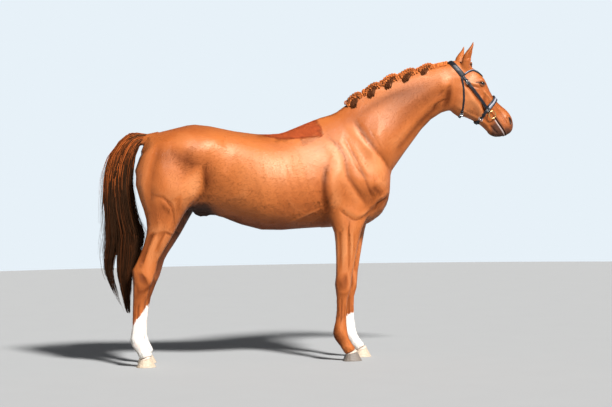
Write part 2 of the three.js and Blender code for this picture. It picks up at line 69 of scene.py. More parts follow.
BEHIND_ARM, AHEAD_OF_STIFLE, HAUNCH = -300, -700, -760  # where legs begin along X
SEEDS = {"tail": 41, "mane": 17, "lashes": 5, "coat": 700}
FLESH = ("head", "neck", "trunk", "foreleg_right", "foreleg_left", "hindleg_right", "hindleg_left",
         "ear_right", "ear_left")

CREST = np.array((
    (60, 1630), (190, 1688), (290, 1757), (400, 1825), (530, 1893), (665, 1945), (800, 1985), (920, 2018),
    (1030, 2040), (1062, 2050), (1140, 2024), (1206, 1984), (1252, 1932)), float)

# How far each leg stands ahead of the drawn one, at its top and at the ground.
LEGS = {
    "foreleg_right": {"step": (0, 0), "top": 895, "side": -1},
    "foreleg_left": {"step": (66, 110), "top": 895, "side": 1},
    "hindleg_right": {"step": (0, 0), "top": 1000, "side": -1},
    "hindleg_left": {"step": (76, 18), "top": 1000, "side": 1},
}


# ---- numbers and places

def rows(items, name, width=1, kind=np.float32):
    """One property of many items as an array."""
    out = np.empty(len(items) * width, kind)
    items.foreach_get(name, out)
    return out.reshape(-1, width).astype(float) if width > 1 else out


def ramp(x, low, high):
    """0 below low, 1 above high, and a smooth climb between."""
    t = np.clip((x - low) / (high - low), 0, 1)
    return t * t * (3 - 2 * t)


def evenly(count):
    """Even steps from 0 to 1."""
    return np.linspace(0, 1, count)


def bump(x, y=0.0):
    """1 at 0, and a smooth fall away from it."""
    return np.exp(-x * x - y * y)


def within(x, low, high):
    return (x > low) & (x < high)


def to_head(co):
    """Places in the frame, in metres, as head places in millimetres, as if it looked straight ahead."""
    x, y, z = (co / MM).T
    x = x + CENTRE - POLL
    c, s = math.cos(HEAD_TURN), math.sin(HEAD_TURN)
    return np.stack((x * c + y * s + POLL, y * c - x * s, z), 1)


def from_head(places):
    """The way back from to_head."""
    x, y, z = np.atleast_2d(np.asarray(places, float)).T
    c, s = math.cos(HEAD_TURN), math.sin(HEAD_TURN)
    x = x - POLL
    return np.stack((x * c - y * s + POLL - CENTRE, x * s + y * c, z), 1) * MM


def source(co):
    """Places in the frame, in metres, along each of the CAD source's axes, in millimetres."""
    x, y, z = (co / MM).T
    return x + CENTRE, y, z


def head_turned(vectors, back=False):
    """Directions turned with the head, or back."""
    c, s = math.cos(HEAD_TURN), math.sin(HEAD_TURN) * (-1 if back else 1)
    x, y, z = np.atleast_2d(vectors).T
    return np.stack((x * c - y * s, x * s + y * c, z), 1)


def ahead(leg, z):
    """How far ahead a leg's flesh lies at a height."""
    low, high, top = leg["step"][1], leg["step"][0], leg["top"]
    return (low + (high - low) * np.minimum(z, top) / top) * (1 - ramp(z, top, top + 350))


def at_leg(name, x, y, z, below, behind=AHEAD_OF_STIFLE):
    """Which places are below a height and on a leg's side and end of the horse."""
    end = x > BEHIND_ARM if name.startswith("fore") else x < behind
    return (y * LEGS[name]["side"] > 0) & (z < below) & end


def as_drawn(name, x, z):
    """Places in side view with a leg's step taken off."""
    return np.stack((x - ahead(LEGS[name], z), z), 1)


def unit(vectors):
    """The same directions, each of length 1."""
    return vectors / np.linalg.norm(vectors, axis=-1, keepdims=True)


def line_near(points, line):
    """For points in a plane: distance to a line through corners, the signed side, and the share along."""
    line = np.asarray(line, float)
    best = np.full(len(points), 1e9)
    side = np.zeros(len(points))
    along = np.zeros(len(points))
    spans = np.linalg.norm(np.diff(line, axis=0), axis=1)
    gone = 0.0
    for a, b, span in zip(line[:-1], line[1:], spans):
        run = (b - a) / span
        t = np.clip((points - a) @ run, 0, span)
        off = points - a - t[:, None] * run
        d = np.linalg.norm(off, axis=1)
        nearer = d < best
        best[nearer] = d[nearer]
        side[nearer] = (off @ np.array((-run[1], run[0])))[nearer]
        along[nearer] = ((gone + t) / spans.sum())[nearer]
        gone += span
    return best, side, along


def curved(line, steps=6):
    """A smooth line through the corners given."""
    line = np.asarray(line, float)
    padded = np.vstack((2 * line[0] - line[1], line, 2 * line[-1] - line[-2]))
    out = []
    for k in range(1, len(padded) - 2):
        a, b, c, d = padded[k - 1:k + 3]
        for f in np.linspace(0, 1, steps, endpoint=False):
            out.append(b + 0.5 * f * (c - a + f * (2 * a - 5 * b + 4 * c - d + f * (3 * (b - c) + d - a))))
    return np.array(out + [line[-1]])


# ---- meshes and pieces

def linked(name, data):
    """A new object in the scene."""
    ob = bpy.data.objects.new(name, data)
    bpy.context.scene.collection.objects.link(ob)
    return ob


def shape_of(mesh):
    """A mesh's vertex places, and the way its surface faces at each."""
    return rows(mesh.vertices, "co", 3), rows(mesh.vertices, "normal", 3)


def reshape(mesh, co):
    mesh.vertices.foreach_set("co", np.asarray(co, np.float32).ravel())


def corners_of(mesh):
    """The vertex at each corner of a mesh's faces."""
    return rows(mesh.loops, "vertex_index", kind=np.int32)


@cache
def solid_tree(node):
    """A CAD solid, to find places on it."""
    bm = welded(node)
    tree = BVHTree.FromBMesh(bm)
    bm.free()
    return tree


def piece(name, mesh, material, replaced=()):
    """A finished object, which rides on the body with the material given, and hides the CAD parts it
    replaces.
    """
    mesh.name = name
    mesh.materials.clear()
    mesh.materials.append(material)
    mesh.polygons.foreach_set("use_smooth", np.full(len(mesh.polygons), True))
    ob = linked(name, mesh)
    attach(ob, "root")
    if replaced:
        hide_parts(*replaced)
    return ob


def fused(cell):
    """The settings that join shells into one, on cells of this size in metres."""
    return "REMESH", {"mode": "VOXEL", "voxel_size": cell}


def smoothed(rounds, **settings):
    return "SMOOTH", {"factor": 0.5, "iterations": rounds, **settings}


def thinned(share, **settings):
    return "DECIMATE", {"ratio": share, **settings}


def evaluated(mesh, *modifiers, groups=()):
    """The mesh after these modifiers. Each is (type, settings); each group is (name, weights)."""
    ob = linked("work", mesh)
    for name, weights in groups:
        group = ob.vertex_groups.new(name=name)
        level = np.clip(np.round(np.asarray(weights) * 50) / 50, 0, 1)
        for value in np.unique(level):
            group.add(np.flatnonzero(level == value).tolist(), float(value), "REPLACE")
    for kind, settings in modifiers:
        modifier = ob.modifiers.new(kind, kind)
        for key, value in settings.items():
            setattr(modifier, key, value)
    graph = bpy.context.evaluated_depsgraph_get()
    made = bpy.data.meshes.new_from_object(ob.evaluated_get(graph))
    bpy.data.objects.remove(ob)
    bpy.data.meshes.remove(mesh)
    return made


def finished(bm, name="made"):
    mesh = bpy.data.meshes.new(name)
    bm.to_mesh(mesh)
    bm.free()
    return mesh


def welded(*nodes):
    """Copies of CAD nodes as one bmesh with shared corners."""
    bm = bmesh.new()
    for node in nodes:
        bm.from_mesh(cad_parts[node].data)
    bmesh.ops.remove_doubles(bm, verts=bm.verts, dist=0.02 * MM)
    return bm


def keep(mesh, name, values):
    """Stores one number per vertex for the materials."""
    attribute = mesh.attributes.get(name) or mesh.attributes.new(name, "FLOAT", "POINT")
    attribute.data.foreach_set("value", np.asarray(values, np.float32))


def tube(bm, path, radii, around=12, flat=1.0, up=(0, 0, 1)):
    """A closed tube: a disc extruded along the path. flat thins it along up."""
    path = np.asarray(path, float)
    radii = np.broadcast_to(np.asarray(radii, float), len(path))
    face = bmesh.ops.create_circle(bm, cap_ends=True, segments=around, radius=1)["verts"][0].link_faces[0]
    disc = [corner.vert.co.copy() for corner in face.loops]
    runs = np.gradient(path, axis=0)
    for k, (place, run, radius) in enumerate(zip(path, runs, radii)):
        if k:
            made = bmesh.ops.extrude_face_region(bm, geom=[face])["geom"]
            face = next(g for g in made if isinstance(g, bmesh.types.BMFace))
        run = Vector(run).normalized()
        out = run.cross(Vector(up)).normalized()
        over = out.cross(run)
        for corner, drawn in zip(face.loops, disc):
            offset = out * drawn.x + over * (flat * drawn.y)
            corner.vert.co = Vector(place) + offset * float(radius)
    return face


# ---- the forms of the flesh

# A furrow is its width, its depth, how high the flesh stands beside it (to the left of its run where
# that is positive), and then its line's places in side view. A negative depth makes a ridge or a vein.
BODY_FURROWS = (
    (20, 10, -7, 321, 1659, 389, 1529, 446, 1457, 534, 1355, 577, 1287),  # shoulder blade
    (17, 8, -5, 146, 1530, 238, 1405, 262, 1256, 326, 1161, 375, 1085, 393, 1058),
    (24, 11, 8, 125, 1353, 97, 1171, 131, 1015),  # behind the arm
    (22, 8, 6, 424, 1193, 467, 1158, 506, 1131),  # shoulder point
    (9, 9, 5, 201, 1046, 246, 992, 317, 958, 382, 984, 447, 1035),  # below the upper arm
    (13, 11, -6, 596, 1150, 540, 1100, 476, 1064, 450, 1020),  # under the shoulder point
    (9, 5, 3, 598, 1086, 524, 981, 470, 929),  # beside the breast
    (11, 6, 3, 282, 1442, 324, 1371, 368, 1265, 410, 1160, 440, 1100),
    (8, 3, 1, 336, 1494, 396, 1430, 446, 1368), (7, 5, 2, 248, 1547, 282, 1442, 334, 1371, 351, 1318),
    (8, 5, 2, 911, 1798, 976, 1850, 1019, 1867),  # throat creases
    (7, 4, 2, 867, 1711, 939, 1763, 1003, 1773),
    (8, -3.5, 0, 1028, 1718, 920, 1658, 811, 1554, 703, 1451, 648, 1365),
    (26, 6, -5, -700, 1360, -706, 1240, -716, 1160, -770, 1090),  # front of thigh
    (34, 3.5, -3, -720, 1540, -820, 1400, -855, 1260, -840, 1130),
    (24, 4.5, -3, -985, 1520, -1035, 1380, -1068, 1240, -1078, 1120, -1060, 1010),
    (13, 6, 3, -1005, 1096, -979, 1056, -946, 1029),  # stifle
    (16, 5, 3, -905, 1180, -880, 1110, -890, 1050), (9, 6, 3, -1051, 1148, -983, 1129, -915, 1062),
    (7, 6, 2, -983, 1129, -930, 1060, -918, 1000),
    (8, -4, 0, -155, 946, -34, 995, 115, 1056),  # spur vein
    (9, 2.5, 1.5, -187, 1102, -145, 1061, -99, 1006),
    (18, 7, 4, 600, 1400, 680, 1490, 750, 1570, 820, 1640, 890, 1700, 950, 1740),
    (30, 4, 3, 330, 1655, 480, 1755, 640, 1825, 800, 1868, 900, 1880),
    (15, -6, 0, 943, 1915, 962, 1870, 968, 1825),  # wing of atlas
    (21, 8, -4, 1050, 1925, 1024, 1862, 996, 1800, 984, 1752, 966, 1706),  # behind the jaw
    (16, 4, 2, 880, 1700, 920, 1745, 965, 1785), (7, 3, 1, 430, 1560, 470, 1500, 505, 1430),
    (6, 2.5, 1, 408, 1596, 440, 1535, 462, 1490), (6, 2, 1, 472, 1540, 505, 1490, 530, 1440),
    (16, 4, 3, 300, 1330, 380, 1270, 440, 1240), (6, -2.5, 0, -565, 1108, -500, 1130, -430, 1160),
)
FORE_FURROWS = (
    (10, 10, 4, 266, 955, 266, 790, 269, 690, 266, 610), (10, 5, -2, 200, 910, 205, 780, 202, 640),
    (7, 5, 2, 303, 880, 298, 750, 284, 640), (7, 1.6, .6, 168, 566, 206, 556, 240, 562),
    (6, 1.4, .6, 196, 516, 236, 504, 282, 514), (8, 2.2, .8, 176, 470, 220, 456, 262, 466),
    (4, 1.8, .8, 206, 842, 236, 834, 262, 842), (4, 1.8, .8, 208, 745, 236, 738, 262, 748),
    (4, 1.6, .8, 206, 710, 236, 704, 262, 712), (8, 4, 2, 242, 590, 250, 540, 246, 490),
    (5, 3, 1, 236, 430, 234, 350, 228, 270), (8, 3, 1, 176, 250, 182, 215, 196, 180),
    (8, 1.6, .6, 180, 168, 208, 156, 236, 164), (10, 4, 0, 207, 548, 205, 478),
    (6.5, 6.5, 0, 215, 440, 212, 350, 206, 262), (4, 3.2, 0, 197, 430, 194, 345, 186, 265),
    (9, 3, 0, 232, 150, 262, 108), (4, -2, 0, 300, 820, 285, 700, 268, 600),
)
HIND_FURROWS = (
    (5, -4, 0, -1083, 914, -1035, 904, -986, 918, -940, 900, -897, 868),  # fold under the thigh
    (6, 3, 0, -1080, 896, -1035, 888, -985, 900, -936, 882, -897, 850),
    (6, 3, 1, -930, 1050, -915, 1000, -910, 937), (6, 3.5, 1, -845, 1058, -874, 971, -836, 929),
    (7, 3, 0, -1131, 689, -1106, 770, -1090, 850), (13, 12, 3, -1062, 900, -1108, 780, -1142, 680),
    (12, 6, 3, -1155, 640, -1120, 600, -1100, 555), (10, 3, .8, -1062, 562, -1100, 524, -1160, 508),
    (9, 3, 1, -1192, 575, -1168, 545, -1160, 505), (12, 4, 2, -985, 900, -1015, 830, -1040, 760),
    (6, 3, 1, -1110, 480, -1118, 420, -1124, 340), (6.5, 6.5, 0, -1160, 455, -1164, 365, -1168, 270),
    (4, 3.2, 0, -1180, 450, -1183, 365, -1187, 270), (9, 3, 0, -1150, 150, -1128, 105),
    (5, -2.4, 0, -1010, 960, -1040, 860, -1060, 760, -1080, 690),
)
HEAD_FURROWS = (
    (9, -5, 0, 1228, 1832, 1270, 1795, 1318, 1754),  # facial crest
    (12, 6, -4, 1240, 1806, 1238, 1740, 1250, 1662, 1262, 1612),  # jaw muscle
    (11, 6, -4, 1080, 1900, 1130, 1850, 1190, 1768, 1240, 1705, 1276, 1662),  # by the cheekpiece
    (10, -3, 0, 1066, 1722, 1110, 1688, 1190, 1650, 1290, 1592),
    (9, -4, 0, 1192, 1872, 1140, 1886, 1086, 1892),  # cheek arch
    (8, 3, 0, 1205, 1850, 1150, 1862, 1100, 1866),
    (12, 4, 3, 1292, 1852, 1350, 1774, 1420, 1706),  # nasal bone
    (4, -2.2, 0, 1262, 1812, 1296, 1742, 1330, 1700), (4, -2.2, 0, 1300, 1790, 1345, 1728, 1384, 1692),
    (9, 3, 2, 1340, 1712, 1390, 1660, 1408, 1604), (8, 5, -2, 1296, 1596, 1322, 1566, 1356, 1536),
    (3, 2.6, 1, 1316, 1660, 1304, 1640, 1308, 1612), (3, 2, 1, 1304, 1662, 1290, 1640, 1296, 1610),
    (3, 1.4, .6, 1290, 1662, 1278, 1640, 1284, 1608), (5, 3.2, 1.5, 1430, 1668, 1414, 1634, 1420, 1598),
)
MOUTH = ((1326, 1651), (1350, 1618), (1375, 1584), (1401, 1549), (1414, 1530), (1424, 1512))
# A mound is [x, z, radius along x, radius along z, height].
BODY_MOUNDS = (
    (155, 1040, 34, 30, 7), (490, 1275, 52, 46, 7), (-628, 1508, 32, 30, 5), (-768, 1128, 46, 50, 8),
    (150, 1180, 60, 90, 6), (330, 1230, 60, 60, 5), (-950, 1180, 90, 130, 6), (-800, 1470, 80, 70, 4),
    (-1000, 1300, 50, 130, 3), (-520, 1360, 80, 120, -6), (350, 1450, 50, 110, 5), (-912, 1408, 78, 52, -9),
    (-789, 1338, 46, 40, -9), (-815, 1186, 66, 70, 8), (-860, 1330, 36, 60, 4), (-640, 1240, 50, 90, -6))
FORE_MOUNDS = (
    (182, 552, 15, 22, 4), (262, 520, 20, 40, 3), (176, 196, 16, 20, 3), (230, 830, 40, 90, 3))
HIND_MOUNDS = (
    (-1178, 640, 18, 26, 3), (-1078, 574, 22, 24, 4), (-1196, 196, 16, 20, 3), (-960, 960, 60, 80, 4))
HEAD_MOUNDS = (
    (1140, 1760, 60, 70, 4), (1340, 1552, 26, 22, 4), (1440, 1575, 22, 26, 3), (1222, 1912, 26, 10, 4),
    (1300, 1700, 30, 30, 2))


LIMB_FORMS = {"fore": (FORE_FURROWS, FORE_MOUNDS), "hind": (HIND_FURROWS, HIND_MOUNDS)}


def furrows(side_view, table):
    """How far a table of furrows pushes each place in side view, in millimetres."""
    push = np.zeros(len(side_view))
    for width, depth, beside, *places in table:
        line = curved(np.reshape(places, (-1, 2)))
        reach = 5.5 * width
        near = ((side_view > line.min(0) - reach) & (side_view < line.max(0) + reach)).all(1)
        if not near.any():
            continue
        away, side, along = line_near(side_view[near], line)
        fade = ramp(along, -0.01, 0.16) * ramp(1 - along, -0.01, 0.16)
        made = -depth * bump(away / width) * (0.25 + 0.75 * fade)
        if beside:
            past = np.sign(beside) * side
            made += (abs(beside) * bump((past - 2.3 * width) / (1.8 * width)) * (past > 0) * fade
                     * bump((away - abs(side)) / width))
        push[near] += made
    return push


def mounds(side_view, table):
    """How far a table of mounds lifts each place in side view."""
    return sum(height * bump((side_view[:, 0] - x) / wide, (side_view[:, 1] - z) / tall)
               for x, z, wide, tall, height in table)


def regions(co):
    """How much each place, in metres, belongs to the head, the ears, the neck, and each leg."""
    x, y, z = source(co)
    head = ramp(x + 0.04 * (z - 1700), 985, 1035)
    local = to_head(co)
    ear = ramp(local[:, 2] + 0.25 * (local[:, 0] - 1100), 2030, 2052) * (local[:, 0] < 1240) * head
    neck = ramp(0.78 * (x - 262) + 0.62 * (z - 1738), -40, 60) * (1 - head)
    legs = {name: ramp(-z, -leg["top"] - 20, -leg["top"] + 60) * at_leg(name, x, y, z, math.inf, HAUNCH)
            for name, leg in LEGS.items()}
    return {"head": head, "ear": ear, "neck": neck, **legs}


def flesh_forms(co, normal, place):
    """How far muscles, bones, veins and folds push the skin of the body and legs, in millimetres."""
    x, y, z = source(co)
    aside = ramp(abs(normal[:, 1]), 0.15, 0.6)
    flat = np.stack((x, z), 1)
    body = furrows(flat, BODY_FURROWS) + mounds(flat, BODY_MOUNDS)
    ribs = 1.5 * np.sin((x + 0.25 * (z - 1200)) / 9.4) * bump((x + 230) / 260, (z - 1230) / 190)
    out = (body + ribs) * aside * (1 - place["head"])
    limbs = sum(place[name] for name in LEGS)
    out *= 1 - 0.9 * limbs * (z < 800)
    for name in LEGS:
        near = at_leg(name, x, y, z, 1080)
        here = as_drawn(name, x[near], z[near])
        lines, swells = LIMB_FORMS[name[:4]]
        made = furrows(here, lines) + mounds(here, swells)
        out[near] += made * aside[near] * ramp(-z[near], -1060, -960)
    front = ramp(normal[:, 0], 0.3, 0.8) * within(z, 950, 1400) * (x > 400) * (1 - place["neck"])
    out -= 14 * bump(y / 20) * front  # between the breasts
    top = ramp(normal[:, 2], 0.4, 0.9) * within(x, -1000, -420)
    out -= 5 * bump(y / 24) * top * ramp(-x, 420, 520)  # along the back
    below = ramp(-normal[:, 2], 0.4, 0.9)
    out -= 3 * bump(y / 22) * below * ramp(z, 860, 900) * within(x, -500, 100)
    sheath = bump((x + 690) / 70, y / 60) * bump((z - 1010) / 40) * below
    out += sheath * 2.0 * np.sin(x / 6.5)
    rear = ramp(-normal[:, 0], 0.3, 0.8) * (x < -1000) * within(z, 1000, 1560)
    out -= 16 * bump(y / 22) * rear  # between the buttocks
    return out


def sloped(x, z, slope=EYE_SLOPE):
    """Offsets in side view, as offsets along and up from a sloping line."""
    c, s = math.cos(slope), math.sin(slope)
    return x * c + z * s, z * c - x * s


def almond(local):
    """Signed distance from the edge of the eyelids' opening, positive over the lids, in millimetres."""
    half = 25
    u, w = sloped(local[:, 0] - EYE[0] - 4, local[:, 2] - EYE[2])
    share = np.clip(1 - (u / half) ** 2, 0, 1)
    high, low = 7.2 * share ** 0.75, -7.6 * share ** 0.9
    over = np.maximum(w - high, low - w)
    ends = np.maximum(abs(u) - half, 0)
    return np.where(ends > 0, np.hypot(ends, np.maximum(over, 0)), over), w


def nostril_near(local):
    """Distance from the nostril's edge, in millimetres. The opening is a comma."""
    wide, tall = 11.5, 27
    u, w = sloped(local[:, 0] - 1447, local[:, 2] - 1625, 0.3)
    u = u + 5 * (w / tall) ** 2
    return (np.hypot(u / wide, w / tall) - 1) * 13


def face_forms(local, normal):
    """How far the head's bones, folds, lips and nostrils push its skin, in millimetres."""
    flat = local[:, [0, 2]]
    hx, hy, hz = local.T
    aside = ramp(abs(normal[:, 1]), 0.15, 0.6)
    out = (furrows(flat, HEAD_FURROWS) + mounds(flat, HEAD_MOUNDS)) * aside
    away, _, along = line_near(flat, curved(MOUTH))
    lips = ramp(along, 0.0, 0.05)
    out += (-6.5 * bump(away / 2.3) + 2.6 * bump((away - 7) / 4.5)) * lips * (hx > 1310)
    rim = nostril_near(local)
    out += (3.4 * bump((rim - 3.5) / 3.5) - 1.5 * bump((rim - 12) / 5)) * aside * (hx > 1380)
    opening, height = almond(local)
    near = bump((hx - EYE[0]) / 45, (hz - EYE[2]) / 40) * aside
    folds = sum(high * bump((opening - at) / wide)
                for high, at, wide in ((-1.8, 8.5, 1.8), (-1.3, 13, 1.8), (1.2, 17, 4)))
    out += folds * near * np.where(height > 0, 1, 0.65)
    top = ramp(normal[:, 2], 0.3, 0.8)
    out -= 2.0 * bump(hy / 9) * top * within(hx, 1230, 1420)
    under = ramp(-normal[:, 2], 0.3, 0.8)
    out -= 9 * bump(hy / 22) * under * within(hx, 1080, 1300)
    return out


def lids_drawn(local):
    """Draws the skin over the eyeballs as lids, and sinks it behind them inside the opening."""
    out = local.copy()
    mirror = np.ones_like(local)
    mirror[:, 1] = np.sign(local[:, 1])
    from_eye = local * mirror - EYE
    reach = np.linalg.norm(from_eye, axis=1)
    near = (reach < 48) & (from_eye[:, 1] > -14)
    opening, _ = almond(local)
    lid = EYE_RADIUS + 0.9 + 2.6 * ramp(opening, 0, 4)
    held = ramp(34 - opening, 0, 16)
    drawn = np.maximum(reach, lid * held + reach * (1 - held))
    sunk = EYE_RADIUS - 6
    wanted = np.where(opening > 0, drawn, sunk + (drawn - sunk) * ramp(opening, -2.2, 0.0))
    facing = ramp(from_eye[:, 1], -12, 4)
    change = (wanted / np.maximum(reach, 1) - 1) * facing
    out[near] = ((from_eye * (1 + change[:, None]) + EYE) * mirror)[near]
    return out


# ---- the skin

DOCK = (
    (-985, 1545), (-1040, 1538), (-1100, 1526), (-1155, 1494), (-1205, 1440), (-1244, 1372), (-1268, 1300))
DOCK_RADII = (40, 37, 33, 29, 24, 18, 9)


def mouth_shut(bm):
    """Laps the walls of the mouth's slot over each other, so that the skin closes there."""
    start, end = np.array((1330, 1646.0)), np.array((1423, 1516.0))
    run = (end - start) / np.linalg.norm(end - start)
    across = np.array((-run[1], run[0]))
    for vert in bm.verts:
        place = to_head(np.array([vert.co]))[0]
        off = place[[0, 2]] - start
        if abs(off @ across) < 1.5 and -3 < off @ run < 400 and place[0] > 1300:
            place[[0, 2]] -= across * (off @ across) * 1.5
            vert.co = from_head(place)[0]


def flesh_shells():
    """The flesh with its parting cuts and the mouth closed, the eyeballs, and the tail's dock."""
    bm = welded(*FLESH)
    mouth_shut(bm)
    bm.normal_update()
    for vert in bm.verts:
        vert.co += vert.normal * 0.45 * MM
    for node in ("eye_right", "eye_left"):
        bm.from_mesh(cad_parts[node].data)
    path = [((x - CENTRE) * MM, 0, z * MM) for x, z in curved(DOCK, 3)]
    stations = evenly(len(DOCK_RADII))
    tube(bm, path, np.interp(evenly(len(path)), stations, DOCK_RADII) * MM, around=18)
    bmesh.ops.remove_doubles(bm, verts=bm.verts, dist=0.001 * MM)
    return finished(bm, "flesh")


def mane_cleared(co):
    """Flattens the crest and forelock, where the plaits are made as pieces of their own."""
    x, y, z = source(co)
    line = np.interp(x, CREST[:, 0], CREST[:, 1]) - 1.5 - 0.012 * y * y
    near = (abs(y) < 62) & within(x, 300, 985)
    out = co.copy()
    out[near, 2] = np.minimum(z, line)[near] * MM
    local = to_head(co)
    hx, hy, hz = local.T
    brow = np.interp(hx, (1100, 1140, 1206, 1230), (2034, 2022, 1982, 1958))
    brow -= 0.006 * hy ** 2
    bun = (abs(hy) < 34) & within(hx, 1128, 1200) & (hz > 1960)
    out[bun, 2] = np.minimum(hz, brow)[bun] * MM
    return out


def skin_mesh():
    """The whole skin: fused, smoothed, and then given its forms, folds and lids."""
    hair = bpy.context.scene.horse_coat
    cell = 1 * hair.skin_cell
    mesh = evaluated(flesh_shells(), fused(cell))
    co = mane_cleared(rows(mesh.vertices, "co", 3))
    reshape(mesh, co)
    place = regions(co)
    z = co[:, 2]
    low = ramp(z, 0.72, 1.12) * 0.84 + 0.10
    softness = low * (1 - place["neck"] * 0.55) * (1 - place["head"] * 0.86) * (1 - 0.7 * place["ear"])
    softness = np.where((co[:, 0] < -1.03) & (z > 1.2), softness * 0.4, softness)
    rounds = int(360 * (4 * MM / cell) ** 2)
    mesh = evaluated(mesh, smoothed(rounds, vertex_group="soft"), groups=(("soft", softness),))
    bm = bmesh.new()
    bm.from_mesh(mesh)
    bpy.data.meshes.remove(mesh)
    for finer in range(2):
        bm.verts.ensure_lookup_table()
        co = np.array([v.co for v in bm.verts])
        local = to_head(co)
        face = regions(co)["head"] > 0.8
        if finer:
            face = (np.hypot(local[:, 0] - EYE[0], local[:, 2] - EYE[2]) < 36) & (abs(local[:, 1]) > 60)
        edges = [e for e in bm.edges if face[e.verts[0].index] and face[e.verts[1].index]]
        bmesh.ops.subdivide_edges(bm, edges=edges, cuts=1, use_grid_fill=True, smooth=0.0)
    mesh = finished(bm, "skin")
    co, normal = shape_of(mesh)
    place = regions(co)
    local = to_head(co)
    deep = depth_of_coat(co)
    face = face_forms(local, head_turned(normal, back=True)) * place["head"] * (1 - place["ear"])
    push = flesh_forms(co, normal, place) + face
    co = co + normal * ((push - deep) * MM)[:, None]
    co = from_head(lids_drawn(to_head(co)))
    reshape(mesh, co)
    spare = 1 - 0.86 * place["head"] - 0.1 * bump((local[:, 0] - EYE[0]) / 30, (local[:, 2] - EYE[2]) / 30)
    share = min(1.0, hair.skin_faces / sum(len(p.vertices) - 2 for p in mesh.polygons))
    fewer = thinned(share, vertex_group="spare", vertex_group_factor=1.0)
    return evaluated(mesh, smoothed(2, factor=0.35), fewer, groups=(("spare", spare),))


def depth_of_coat(co):
    """The coat's thickness, in millimetres: thinner on the face and feet."""
    return 3.2 - 1.9 * np.maximum(regions(co)["head"], ramp(-co[:, 2], -0.7, -0.3))


# ---- markings, and painted light and shade

PATCH = np.array((
    (-301, 1546), (-240, 1519), (-180, 1509), (-60, 1511), (20, 1518), (118, 1528), (114, 1552),
    (104, 1599), (88, 1652), (104, 1720), (-301, 1720)), float)
# White reaches this height at the leg's middle line, and climbs this much for each step ahead.
WHITE = {"hindleg_right": (-1150, 352, 1.25), "hindleg_left": (-1150, 385, 0.5),
         "foreleg_left": (220, 305, 0.3)}


def inside(flat, outline):
    """Signed distance to a closed outline, positive inside it."""
    closed = np.vstack((outline, outline[:1]))
    away, _, _ = line_near(flat, closed)
    odd = np.zeros(len(flat), bool)
    for (ax, az), (bx, bz) in zip(closed[:-1], closed[1:]):
        if az != bz:
            crossing = (az > flat[:, 1]) != (bz > flat[:, 1])
            odd ^= crossing & (flat[:, 0] < ax + (flat[:, 1] - az) / (bz - az) * (bx - ax))
    return np.where(odd, away, -away)


def markings(co):
    """The coat's markings and its painted light and shade at each place, the same for skin and hair."""
    x, y, z = source(co)
    place = regions(co)
    local = to_head(co)
    hx, hy, hz = local.T
    flat = np.stack((x, z), 1)
    white = np.full(len(co), -200.0)
    for name, (middle, height, climb) in WHITE.items():
        near = at_leg(name, x, y, z, 650)
        white[near] = (height + climb * (x - ahead(LEGS[name], z) - middle) - z)[near]
    nose = local[:, [0, 2]]
    away, _, along = line_near(nose, curved(MOUTH))
    below = (nose[:, 1] < np.interp(nose[:, 0], (1330, 1423), (1646, 1516)))
    lips = np.minimum(1, 1.25 * bump(away / 15)) * (hx > 1322)
    chin = np.minimum(1, 2.1 * bump((nose[:, 0] - 1345) / 62, (nose[:, 1] - 1546) / 62)) * below
    upper_lip = np.minimum(0.85, 1.2 * bump((nose[:, 0] - 1424) / 42, (nose[:, 1] - 1546) / 38))
    chin = chin * ramp(hx, 1286, 1326)
    snout = ramp(hx - 0.42 * (hz - 1600), 1418, 1466)
    # The nostril's opening painted dark over a shallow dent: painted shade.
    nostril_opening_shade = ramp(-nostril_near(local), -4.5, 0.5) * (hx > 1400)
    opening, _ = almond(local)
    lids = bump(np.maximum(opening, 0) / np.where(nose[:, 1] < EYE[2], 8.5, 7.5))
    lids *= (abs(hy) > 50) * bump((hx - EYE[0]) / 40)
    # A dark line along the crease behind each eye's rear corner: painted shade.
    corner, _, _ = line_near(nose, np.array(((1210, 1887), (1196, 1891), (1178, 1889)), float))
    lids = np.maximum(lids, bump(corner / 5) * (abs(hy) > 40))
    rear = bump((x + 1075) / 60, (z - 1425) / 90) * bump(y / 34) * (x < -1040)
    # Dark skin of the groin, spread wider under the belly and flank as painted shade.
    groin_skin_and_shade = ramp(bump((x + 725) / 110, y / 150), 0.15, 0.5) * ramp(-z, -1112, -1075)
    # Painted shade on the inner faces of the hind legs.
    inner = ramp(HIND_SPREAD - abs(y), -8, 20) * (x < -760) * ramp(z, 440, 620) * ramp(-z, -1120, -1060)
    face = np.maximum.reduce((0.9 * lips, upper_lip, 0.62 * snout, lids)) * place["head"]
    # Dark bare skin, with painted shade on the inner hind legs, groin and flank, the nostrils' openings and
    # the eye creases.
    dark = np.maximum.reduce((face, 0.9 * chin, 0.55 * inner, nostril_opening_shade, 0.8 * rear, groin_skin_and_shade))
    pale = bump((away - 9) / 3.4) * below * ramp(along, .05, .15) * (1 - ramp(along, .75, .9)) * place["head"]
    return {"white": white * MM, "patch": inside(flat, PATCH) * MM, "dark": np.clip(dark, 0, 1),
            "painted_shading": painted_shading_of(co, place, local), "pale_lip": pale}
